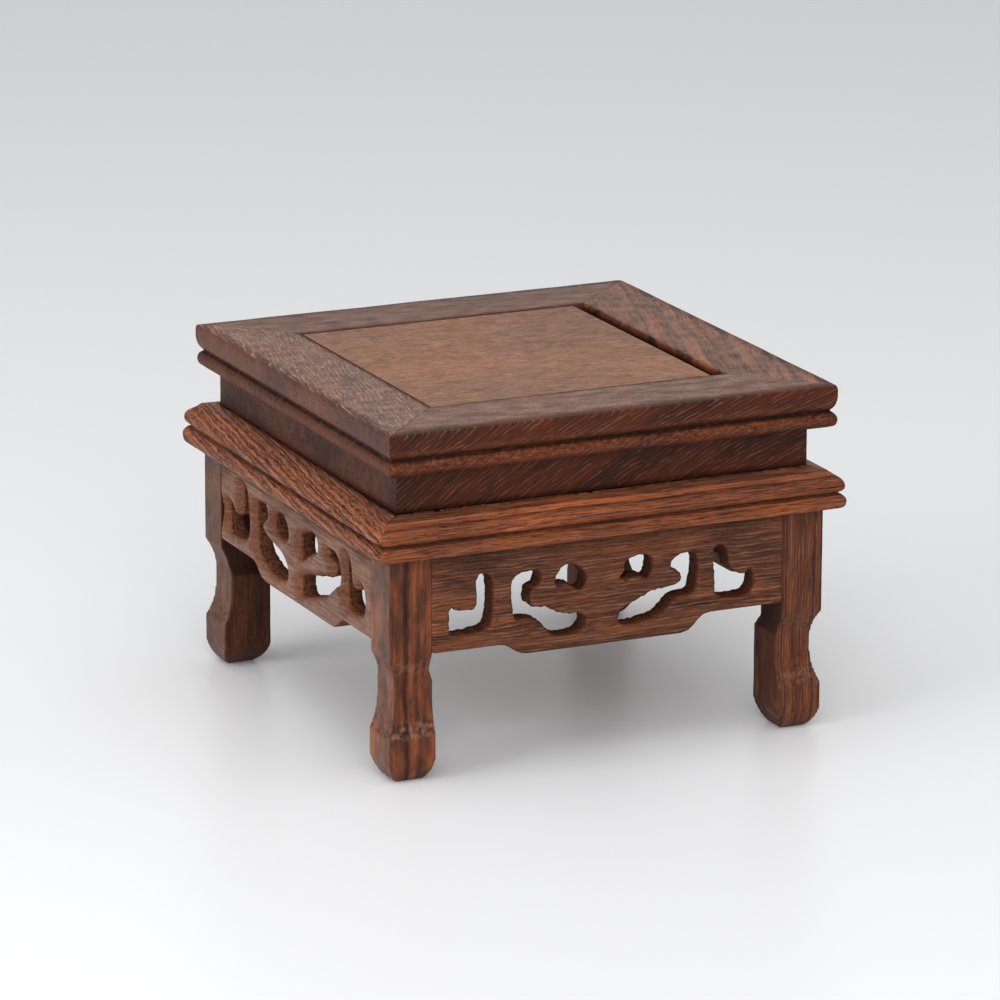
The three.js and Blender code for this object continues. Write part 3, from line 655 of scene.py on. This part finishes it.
def moulded_stick(name, side, points, reaches, widths, material):
    """One mitred stick on its side of the stand. Reaches and widths are those of all four, in millimetres."""
    tree = bpy.data.node_groups.get("Mitred stick") or stick_tree()
    carving = bpy.context.scene.stand_carving
    # A profile swept along +X comes out turned by half a turn, so it is drawn with its signs changed.
    drawing = bpy.data.curves.new(name + "_profile", "CURVE")
    drawing.fill_mode = "NONE"
    spline = drawing.splines.new("POLY")
    spline.points.add(len(points) - 1)
    for point, (out, up) in zip(spline.points, points):
        point.co = (-out * MM, -up * MM, 0, 1)
    spline.use_cyclic_u = True
    profile = linked(name + "_profile", drawing)
    stick = linked(name + "_stick", bpy.data.meshes.new(name))
    modifier = stick.modifiers.new("Mitred stick", "NODES")
    modifier.node_group = tree
    sockets = {s.name: s.identifier for s in tree.interface.items_tree if s.in_out == "INPUT"}
    at = SIDES.index(side)
    before, after = SIDES[at - 1], SIDES[(at + 1) % len(SIDES)]
    values = {
        "Profile": profile,
        "Count": round(2 * reaches[side] * MM / carving.stick_step) + 1,
        "Outer": reaches[side] * MM,
        "Start reach": reaches[before] * MM,
        "End reach": reaches[after] * MM,
        "Start slope": widths[before] / widths[side],
        "End slope": widths[after] / widths[side],
        "Gap": MITRE_GAP * MM / math.sqrt(2),
        "Bead base": (BEAD_BASE - 0.01) * MM,
        "Turn": SIDE_TURN[side],
        "Material": material,
    }
    for key, value in values.items():
        modifier[sockets[key]] = value
    bpy.context.view_layer.update()
    piece = finished(stick, name)
    bpy.data.objects.remove(profile)
    return piece


def hand_planed(mesh, seed):
    """Let the faces wander a little, as planed and scraped wood does, and rub the outer corners round."""
    carving = bpy.context.scene.stand_carving
    points = positions(mesh)
    normals = directions(mesh)
    wander = noise_at(points, 9 * MM, seed) + 0.4 * noise_at(points, 3 * MM, seed + 1)
    far = np.abs(points[:, :2])
    share = np.clip(1 - np.abs(far[:, 0] - far[:, 1]) / (CORNER_WEAR_WIDTH * MM), 0, 1) ** 2
    share *= smooth_step(far.max(1) / MM, LEDGE_HALF - 0.1, LEDGE_HALF + 0.6)
    points[:, :2] -= np.sign(points[:, :2]) * (share * carving.corner_wear)[:, None]
    set_positions(mesh, points + normals * (wander * carving.hand_wave)[:, None])


@dataclass
class Scratch:
    """A line that the scratch stock left rough: its place and width in millimetres, its dirt with painted
    shade, and its cuts.
    """

    out: float
    up: float
    radius: float
    soil: float
    cut: float = 0.0


def chatter(mesh, side, scratches, seed):
    """Roughen the scratched grooves and beads, and paint their dirt, their painted shade and their raw wood,
    and the painted sheen of the level faces.
    """
    carving = bpy.context.scene.stand_carving
    points = positions(mesh)
    out, _ = side_terms(points, side)
    soil = np.zeros(len(points))
    cut = np.zeros(len(points))
    shift = np.zeros(len(points))
    rough = noise_at(points, (1.1 * MM, 1.1 * MM, 0.8 * MM), seed)
    crumbs = noise_at(points, 0.7 * MM, seed + 5)
    for line in scratches:
        gap = np.hypot(out / MM - line.out, points[:, 2] / MM - line.up)
        near = 1 - smooth_step(gap, line.radius * 0.35, line.radius)
        soil = np.maximum(soil, near * line.soil * (0.85 + 0.45 * rough))
        cut = np.maximum(cut, near * line.cut * (0.6 + 1.2 * crumbs))
        shift = np.maximum(shift, near * max(line.soil, line.cut))
    normals = directions(mesh)
    set_positions(mesh, points + normals * (shift * rough * carving.groove_chatter)[:, None])
    paint(mesh, "soil", soil)
    paint(mesh, "cut", cut)
    # Painted sheen on the level faces, fading out towards the outer edge.
    from_edge = out.max() / MM - out / MM + 0.8 * rough
    dust = smooth_step(from_edge, 1.5, 4.5 if side == "front" else 2.5)
    paint(mesh, "dust", dust * smooth_step(normals[:, 2], *LEVEL_FACE))


def rail_scratches(side, inner, outer):
    """What the scratch stock tore and dirt and painted shade darken on a top rail: the groove, the waist
    under the bead and its foot, and the gaps by the panel. The left rail has the most of it.
    """
    is_left = side == "left"
    is_front = side == "front"
    groove_up = TOP_HEIGHT - EDGE_HEIGHT - EDGE_GROOVE_HEIGHT / 2
    bead_up = BEAD_BASE + BEAD_HEIGHT / 2
    # Groove: dirt and painted shade. Left bead: rough wood and painted shade. Waist and its foot: painted
    # shade under the bead. Arris and open gap: painted shade of the gaps by the panel.
    groove = Scratch(outer - EDGE_GROOVE_DEPTH, groove_up, 1.3 if is_left else 0.75, 0.95, 0.3)
    torn_up = bead_up - 0.7 if is_left else bead_up + 0.4
    bead = Scratch(outer - 0.3, torn_up, 1.4, 0.3 if is_left else 0.05, 0.6)
    bead_top = Scratch(outer - 0.4, bead_up + 1.0, 0.9, 0.5 if is_left else 0.0, 0.45)
    waist_foot = Scratch(WAIST_HALF, WAIST_BASE, 0.9 if is_front else 1.5, 0.8)
    waist = Scratch(WAIST_HALF, WAIST_BASE + 4.0, 6.5, 0.1 if is_front else 0.4)
    edge_foot = Scratch(outer - 0.3, TOP_HEIGHT - EDGE_HEIGHT + 1.3, 0.6, 0.0, 0.35)
    arris = Scratch(inner, TOP_HEIGHT - 0.1, 0.35, 0.8 if is_left or is_front else 0.1)
    open_gap = Scratch(inner, TOP_HEIGHT - 1.2, 1.1, 0.6 if side == "right" else 0.0)
    return groove, bead, bead_top, waist_foot, waist, edge_foot, arris, open_gap


class StandTopRails(bpy.types.Operator):
    """Make the four mitred top rails with their edge, groove, bead and waist"""

    bl_idname = "stand.top_rails"
    bl_label = "Top Rails"

    def execute(self, context):
        wood = context.scene.stand_wood
        figures = {
            "front": Figure(
                "X", (-60, 110), lean=(0.66, 0.0), sweep=0.0044, banding=0.25, dash=5.0, lining=0.55,
                fleck=0.3, ground=0.4, level=0.15, blotch=0.8, painted_sheen=0.36,
            ),
            "left": Figure(
                "Y", (-140, 60), lean=(0.0, -0.2), wander=3.0, waver=0.3, band=2.0, banding=0.3, line=1.0,
                dash=4.5, lining=0.55, fibre=(3.5, 0.25), ground=0.45, upright=0.25, blotch=0.9, painted_sheen=0.32,
            ),
            "back": Figure(
                "X", (40, 40), banding=0.3, lining=0.1, fleck=0.3, upright=0.7, blotch=0.8, painted_sheen=0.24
            ),
            "right": Figure(
                "Y", (140, 60), lean=(0.0, -0.3), wander=2.4, band=2.4, banding=0.6, line=1.4, dash=9.0,
                lining=0.15, fleck=0.35, blotch=1.0, blotch_size=4.5, painted_sheen=0.24,
            ),
        }
        spans = {side: reach("top_rail_" + side, side) for side in SIDES}
        spans["left"] = (spans["left"][0], spans["left"][1] - LEFT_RAIL_WEAR)
        reaches = {side: spans[side][1] for side in SIDES}
        widths = {side: spans[side][1] - spans[side][0] for side in SIDES}
        for number, side in enumerate(SIDES):
            pale = getattr(wood, "rail_" + side)
            material = striped_hardwood("rail " + side, pale, figures[side], number + 1)
            inner, outer = spans[side]
            setback = 0.25 if side in ("left", "back") else 0.0
            points = dense(rail_profile(inner, outer, setback), PROFILE_STEP)
            piece = moulded_stick("rail_" + side, side, points, reaches, widths, material)
            hand_planed(piece.data, 10 + number)
            chatter(piece.data, side, rail_scratches(side, inner, outer), 20 + number)
            settle(piece, "top_rail_" + side, "stand", material)
        return {"FINISHED"}


class StandPanel(bpy.types.Operator):
    """Make the floating panel with its eased edges"""

    bl_idname = "stand.panel"
    bl_label = "Panel"

    def execute(self, context):
        figure = Figure(
            "X", (30, -95), band=5.0, banding=0.12, line=0.6, dash=2.0, lining=0.15, fibre=(2.2, 0.22),
            fleck=0.65, pores=0.9, ground=0.62, blotch=0.45, blotch_size=16.0, painted_sheen=0.25,
        )
        material = striped_hardwood("panel", context.scene.stand_wood.panel, figure, 6)
        source = linked("panel_source", bare_copy("top_panel"))
        ease = source.modifiers.new("Eased edges", "BEVEL")
        ease.width = PANEL_EASE * MM
        ease.segments = 3
        ease.limit_method = "ANGLE"
        piece = finished(source, "panel")
        # The board shrank: its left and front edges stand off the rails, the front more so at the right.
        # Its right edge lies a little further out than the CAD has it, as in the photo.
        points = positions(piece.data)
        field = points[:, 2] > (TOP_HEIGHT - PANEL_GROOVE_TOP) * MM
        half = np.abs(points[field, :2]).max(0)
        at_left = field & (points[:, 0] < -0.9 * half[0])
        at_right = field & (points[:, 0] > 0.9 * half[0])
        at_front = field & (points[:, 1] < -0.9 * half[1])
        points[:, 0] += (PANEL_SHIFT["left"] * at_left + PANEL_SHIFT["right"] * at_right) * MM
        rightward = (points[:, 0] / half[0] + 1) / 2
        points[:, 1] += (PANEL_SHIFT["front"] + PANEL_SKEW * rightward) * at_front * MM
        set_positions(piece.data, points)
        # Dark joint lines and painted shade of the gaps lie on the eased front and left edges, and painted
        # sheen on the flat of the field.
        top = points[:, 2] > points[:, 2].max() - 0.02 * MM
        low = points[field, :2].min(0)
        near = (points[:, 1] < low[1] + 0.5 * MM) | (points[:, 0] < low[0] + 0.3 * MM)
        paint(piece.data, "soil", 0.9 * (near & field & ~top))
        paint(piece.data, "cut", np.zeros(len(points)))
        paint(piece.data, "dust", top.astype(float))
        settle(piece, "top_panel", "panel", material, smooth=False)
        return {"FINISHED"}


class StandMouldings(bpy.types.Operator):
    """Make the four mitred strips of the lower moulding"""

    bl_idname = "stand.mouldings"
    bl_label = "Lower Moulding"

    def execute(self, context):
        wood = context.scene.stand_wood
        figures = {
            "front": Figure(
                "X", (35, 110), band=1.4, line=0.8, dash=14.0, lining=0.25, fibre=(7.0, 0.26), fleck=0.6,
                blotch=0.8, blotch_size=16.0, painted_sheen=0.05,
            ),
            "left": Figure(
                "Y", (30, 112), lean=(0.0, -0.14), band=0.6, banding=0.6, line=0.8, dash=6.0, lining=0.35,
                fibre=(3.5, 0.26), fleck=0.75, waver=0.5, ground=0.38, blotch=0.3, painted_sheen=0.05,
            ),
            "back": Figure("X", (-35, 110), band=1.6, painted_sheen=0.2),
            "right": Figure("Y", (-30, 112), band=1.4, banding=0.45, painted_sheen=0.2),
        }
        reaches = {side: MOULDING_HALF for side in SIDES}
        for number, side in enumerate(SIDES):
            material = striped_hardwood("moulding " + side, wood.moulding, figures[side], number + 11)
            points = dense(moulding_profile(side), PROFILE_STEP)
            piece = moulded_stick("moulding_" + side, side, points, reaches, reaches, material)
            if side in ("left", "back"):
                self.lift_corner(piece.data)
            hand_planed(piece.data, 30 + number)
            groove_up = LEG_HEIGHT + LOWER_BEAD_HEIGHT
            # The groove holds dirt and painted shade; the ledge joint holds a dark joint line with painted
            # shade under the overhang.
            groove = Scratch(MOULDING_HALF - MOULDING_GROOVE_DEPTH, groove_up, 1.0, 0.75, 0.3)
            bead_foot = Scratch(MOULDING_HALF - 0.5, LEG_HEIGHT + 0.1, 0.5, 0.0, 0.5)
            ledge_joint = Scratch(WAIST_HALF + LEDGE_GAP, WAIST_BASE + LEDGE_RISE[side], 0.9, 0.75)
            chatter(piece.data, side, (groove, bead_foot, ledge_joint), 40 + number)
            settle(piece, "lower_moulding_" + side, "stand", material)
        return {"FINISHED"}

    def lift_corner(self, mesh):
        """Let the profile rise towards the back left corner of the stand, as far as MOULDING_LIFT says."""
        points = positions(mesh)
        share = np.clip((points[:, 1] - points[:, 0]) / (2 * MOULDING_HALF * MM), 0, 1)
        far = np.abs(points[:, :2]).max(1) / MM - WAIST_HALF - LEDGE_GAP
        height = points[:, 2] / MM
        # What lies under the waist stays where it is.
        free = (far > 0.05) | ((far > -0.05) & (height > WAIST_BASE - LEDGE_GAP + 0.05))
        points[:, 2] += share * free * np.interp(height - LEG_HEIGHT, *MOULDING_LIFT) * MM
        set_positions(mesh, points)


# Carved pieces: aprons and legs


def carved(node, name, rounding):
    """A CAD solid as an even fine mesh with softened edges, ready to be worked on."""
    carving = bpy.context.scene.stand_carving
    source = linked(name + "_source", bare_copy(node))
    fine = source.modifiers.new("Even mesh", "REMESH")
    fine.mode = "VOXEL"
    fine.voxel_size = carving.voxel
    soft = source.modifiers.new("Soft edges", "SMOOTH")
    soft.factor = 0.5
    soft.iterations = rounding
    return finished(source, name)


def rounded_rims(points, normals, side, openings):
    """How far each vertex of an apron falls back next to an opening, in metres.

    On the boards where the chisel leaned over, the rims whose walls face along the side, away from its
    end, fall back further.
    """
    carving = bpy.context.scene.stand_carving
    out, _ = side_terms(points, side)
    facing, turned = side_terms(normals, side)
    depth = BODY_HALF * MM - out
    lean = np.ones(len(points))
    softness = 0.4
    if side in FUNNEL_SIDES:
        lean += 1.2 * np.clip(-turned, 0, 1)
        softness = 1.0
    rims = np.flatnonzero(openings & (depth < 1.6 * MM))
    tree = kdtree.KDTree(len(rims))
    for index in rims:
        tree.insert(points[index], int(index))
    tree.balance()
    fall = np.zeros(len(points))
    near_face = (facing > 0.5) & (depth < 0.6 * MM)
    for index in np.flatnonzero(near_face):
        _, nearest, gap = tree.find(points[index])
        width = carving.rim_width * lean[nearest] * softness
        if gap < width:
            share = 1 - gap / width
            fall[index] = carving.rim_drop * lean[nearest] * softness * share * share
    inner = np.clip(1 - depth / (2.6 * MM), 0, 1)
    return np.where(openings, carving.rim_drop * lean * softness * inner, fall)


class StandAprons(bpy.types.Operator):
    """Make the four openwork aprons with their chiselled walls"""

    bl_idname = "stand.aprons"
    bl_label = "Aprons"

    def execute(self, context):
        wood = context.scene.stand_wood
        figures = {
            "front": Figure(
                "X", (-46, -20), band=3.0, banding=0.35, line=0.75, dash=10.0, lining=0.55, fibre=(8.0, 0.28),
                waver=0.3, ground=0.44, blotch=0.8, raw=0.6, rough=0.5,
            ),
            "left": Figure(
                "Y", (-46, -20), band=1.6, banding=0.2, line=1.1, dash=10.0, lining=0.4, fibre=(7.0, 0.3),
                fleck=0.35, ground=0.46, raw=0.75, rough=0.5,
            ),
            "back": Figure("X", (60, 10), band=2.6, banding=0.35, dash=12.0, raw=0.5, rough=0.5),
            "right": Figure("Y", (70, 20), banding=0.3, lining=0.4, rough=0.5),
        }
        for number, side in enumerate(SIDES):
            pale = wood.apron_side if side in FUNNEL_SIDES else wood.apron_front
            material = striped_hardwood("apron " + side, pale, figures[side], number + 21)
            piece = carved("apron_" + side, "carved_apron_" + side, 2)
            self.chisel(piece.data, side, number)
            settle(piece, "apron_" + side, "stand", material)
        return {"FINISHED"}

    def chisel(self, mesh, side, number):
        """Give the openings their rounded rims and rough walls, and paint what is raw, the dirt and painted
        shade on the walls, the dark patches and the painted sheen.
        """
        chisel_depth = bpy.context.scene.stand_carving.chisel_depth
        points = positions(mesh)
        normals = directions(mesh)
        out, along = side_terms(points, side)
        facing, _ = side_terms(normals, side)
        height = points[:, 2] / MM
        depth = BODY_HALF - out / MM
        # Cut walls are what doesn't face out or in, away from the board's ends and its top.
        cut_area = (np.abs(along) < OPENINGS_REACH * MM) & (height < OPENINGS_TOP)
        wall = (np.abs(facing) < 0.55) & cut_area
        lower_edge = wall & (height < LOWER_EDGE_TOP) & (normals[:, 2] < -0.2)
        fall = rounded_rims(points, normals, side, wall & ~lower_edge)
        soft_wall = (1 - smooth_step(np.abs(facing), 0.35, 0.8)) * cut_area
        rough = noise_at(points, 1.3 * MM, 50 + number) + 0.8 * noise_at(points, 0.65 * MM, 60 + number)
        # The lower edge was sawn and filed, not chiselled.
        filed = 1 - smooth_step(height, LOWER_EDGE_TOP, LOWER_EDGE_TOP + 0.7)
        rough *= 1 - filed * smooth_step(-normals[:, 2], 0.1, 0.5)
        wave = noise_at(points, 7 * MM, 70 + number)
        lift = soft_wall * (rough * chisel_depth + WALL_LOSS * MM) + wave * 0.04 * MM
        at_ends = smooth_step(np.abs(along) / MM, OPENINGS_REACH - 0.2, OPENINGS_REACH + 0.4)
        ends = at_ends * np.sign(along) * END_LOSS * MM
        sideways = np.array([math.cos(SIDE_TURN[side]), math.sin(SIDE_TURN[side]), 0.0])
        moved = points + normals * lift[:, None] - outward(side) * fall[:, None]
        set_positions(mesh, moved + sideways * ends[:, None])
        rim = np.clip(fall / (0.5 * MM), 0, 1)
        paint(mesh, "cut", np.maximum(soft_wall * 0.85, rim * 0.7) * (0.8 + 0.3 * rough))
        ragged = 2.5 * noise_at(points, (9 * MM, 9 * MM, 3 * MM), 55 + number)
        patches = smooth_step(height + ragged, *PATCH_HEIGHTS)
        # Painted shade with dirt on the walls, stronger on the front and back boards and deeper into the
        # openings.
        black = 0.12 if side in FUNNEL_SIDES else 0.3
        soil = soft_wall * (black + 0.3 * smooth_step(depth, 2.5, 4.7) + 0.25 * rough)
        paint(mesh, "soil", np.maximum(soil, 0.35 * patches * (1 - soft_wall)))
        # Painted sheen, pale and grey, on the left board's face, away from the walls and the dark patches.
        left_face_sheen = 0.5 if side == "left" else 0.0
        paint(mesh, "dust", left_face_sheen * (1 - soft_wall) * (1 - patches))


class StandLegs(bpy.types.Operator):
    """Make the four legs with their hollowed outer faces and block feet"""

    bl_idname = "stand.legs"
    bl_label = "Legs"

    def execute(self, context):
        figures = {
            "front_left": Figure(
                "Z", (140, -70), wander=1.6, band=2.8, banding=0.65, line=1.3, lining=0.12, fibre=(4.0, 0.25),
                fleck=0.22, pores=0.4, ground=0.55, blotch=1.0, blotch_size=3.0,
            ),
            "front_right": Figure(
                "Z", (-140, -60), band=1.6, banding=0.35, line=0.7, dash=12.0, lining=0.4, fibre=(5.0, 0.26),
                fleck=0.35, pores=0.5, ground=0.38,
            ),
            "back_left": Figure("Z", (140, 60), band=2.4, banding=0.2, lining=0.1, fleck=0.3, ground=0.3),
            "back_right": Figure("Z", (-140, 60), band=1.8, banding=0.3, lining=0.3),
        }
        for number, corner in enumerate(CORNERS):
            title = "leg " + corner.replace("_", " ")
            material = striped_hardwood(title, context.scene.stand_wood.leg, figures[corner], number + 31)
            piece = carved("leg_" + corner, "carved_leg_" + corner, 1)
            self.pit(piece.data, corner, number)
            settle(piece, "leg_" + corner, "stand", material)
        return {"FINISHED"}

    def pit(self, mesh, corner, number):
        """Roughen the bands at both ends of the hollow, and paint what is raw, dirty, in painted shade or in
        painted sheen.
        """
        carving = bpy.context.scene.stand_carving
        points = positions(mesh)
        normals = directions(mesh)
        height = points[:, 2] / MM
        sign_x, sign_y = (1 if "right" in corner else -1), (1 if "back" in corner else -1)
        outer = np.maximum(normals[:, 0] * sign_x, normals[:, 1] * sign_y)
        inner = np.maximum(-normals[:, 0] * sign_x, -normals[:, 1] * sign_y)
        # The chisel left both bands pitted and pale, and the lower one of the front left leg the most.
        upper = 1 - smooth_step(np.abs(height - UPPER_BAND), 0.7, 2.0)
        lower = 1 - smooth_step(np.abs(height - LOWER_BAND), 0.9, 2.4)
        pitted = np.maximum(0.6 * upper, lower) * smooth_step(outer, 0.3, 0.7)
        if corner != "front_left":
            pitted *= 0.5
        # Painted shade darkens the shoulder under the aprons and the inner faces over it, and all inner faces
        # a little.
        shaded_shoulder = smooth_step(inner, 0.3, 0.7) * smooth_step(height, LEG_SHOULDER - 0.5, LEG_SHOULDER + 0.5)
        rough = noise_at(points, 1.0 * MM, 80 + number) + 0.6 * noise_at(points, 0.45 * MM, 90 + number)
        wave = noise_at(points, 6 * MM, 100 + number)
        lift = pitted * rough * carving.chisel_depth * 0.35 + wave * carving.hand_wave
        set_positions(mesh, points + normals * lift[:, None])
        paint(mesh, "cut", pitted * (0.1 + 0.3 * rough))
        paint(mesh, "soil", np.maximum.reduce([pitted * (0.1 - 0.6 * rough), shaded_shoulder * 0.7, inner * 0.3]))
        # Painted sheen greys the left faces; the pitted bands get the same pale colour as real scratches.
        leg_left_sheen = smooth_step(-normals[:, 0], 0.6, 0.9) * LEG_SHEEN.get(corner, 0.0)
        paint(mesh, "dust", np.maximum(leg_left_sheen, pitted * (0.3 + 1.2 * rough)))


# Stage


def hang_softbox(name, power):
    """Hang one of the softboxes and point it at the stand."""
    place, target, size = SOFTBOXES[name]
    light = bpy.data.lights.new("softbox_" + name, "AREA")
    light.shape = "RECTANGLE"
    light.size, light.size_y = size
    light.energy = power
    lamp = linked("softbox_" + name, light)
    lamp.location = place
    lamp.rotation_euler = (Vector(target) - Vector(place)).to_track_quat("-Z", "Y").to_euler()


def make_camera():
    """Set up the photograph's camera."""
    yaw, pitch, roll = CAMERA_YAW, CAMERA_PITCH, CAMERA_ROLL
    ahead = Vector((math.sin(yaw) * math.cos(pitch), math.cos(yaw) * math.cos(pitch), -math.sin(pitch)))
    level = Vector((math.cos(yaw), -math.sin(yaw), 0))
    above = level.cross(ahead)
    right = level * math.cos(roll) + above * math.sin(roll)
    up = above * math.cos(roll) - level * math.sin(roll)
    camera = bpy.data.cameras.new("Camera")
    camera.lens = CAMERA_LENS
    camera.sensor_width = SENSOR_WIDTH
    camera.clip_start = 0.05
    seat = linked("Camera", camera)
    turn = Matrix((right, up, -ahead)).transposed()
    seat.matrix_world = Matrix.Translation(CAMERA_PLACE) @ turn.to_4x4()
    bpy.context.scene.camera = seat


class StandStageMaker(bpy.types.Operator):
    """Make the pale floor, the soft light and the camera"""

    bl_idname = "stand.stage"
    bl_label = "Stage"

    def execute(self, context):
        stage = context.scene.stand_stage
        make_camera()
        mesh = bpy.data.meshes.new("floor")
        corners = [(x * FLOOR_HALF, y * FLOOR_HALF, 0) for x, y in ((-1, -1), (1, -1), (1, 1), (-1, 1))]
        mesh.from_pydata(corners, [], [(0, 1, 2, 3)])
        floor = linked("floor", mesh)
        # Smooth studio paper: even, nearly white, and it mirrors the feet as a faint blur.
        material = bpy.data.materials.new("Smooth studio paper")
        tree = empty_tree(material)
        paper = add(tree, "ShaderNodeBsdfPrincipled", Base_Color=[*stage.floor, 1.0], Roughness=0.33)
        add(tree, "ShaderNodeOutputMaterial", Surface=paper, out=None)
        mesh.materials.append(material)
        world = bpy.data.worlds.new("Studio")
        context.scene.world = world
        tree = empty_tree(world)
        light = add(tree, "ShaderNodeBackground", Color=(1, 1, 1, 1), Strength=stage.sky)
        add(tree, "ShaderNodeOutputWorld", Surface=light, out=None)
        for name in SOFTBOXES:
            hang_softbox(name, getattr(stage, name + "_light"))
        context.scene.view_settings.view_transform = "Standard"
        return {"FINISHED"}


class StandPanelList(bpy.types.Panel):
    """Buttons that make the stage and the pieces, and the settings that they follow"""

    bl_idname = "VIEW3D_PT_stand"
    bl_label = "Display Stand"
    bl_space_type = "VIEW_3D"
    bl_region_type = "UI"
    bl_category = "Stand"

    def draw(self, context):
        for maker in MAKERS:
            self.layout.operator(maker.bl_idname)
        for group in ("stand_wood", "stand_carving", "stand_stage"):
            settings = getattr(context.scene, group)
            box = self.layout.box()
            for name in settings.__annotations__:
                box.prop(settings, name)


MAKERS = (StandStageMaker, StandTopRails, StandPanel, StandMouldings, StandAprons, StandLegs)
GROUPS = {"stand_wood": StandWood, "stand_carving": StandCarving, "stand_stage": StandStage}


def register():
    for group in (*GROUPS.values(), *MAKERS, StandPanelList):
        bpy.utils.register_class(group)
    for name, group in GROUPS.items():
        setattr(bpy.types.Scene, name, bpy.props.PointerProperty(type=group))


def unregister():
    for name in GROUPS:
        delattr(bpy.types.Scene, name)
    for group in (StandPanelList, *reversed(MAKERS), *reversed(list(GROUPS.values()))):
        bpy.utils.unregister_class(group)


def main():
    register()
    for maker in MAKERS:
        group, name = maker.bl_idname.split(".")
        getattr(getattr(bpy.ops, group), name)()


if __name__ == "__main__":
    main()
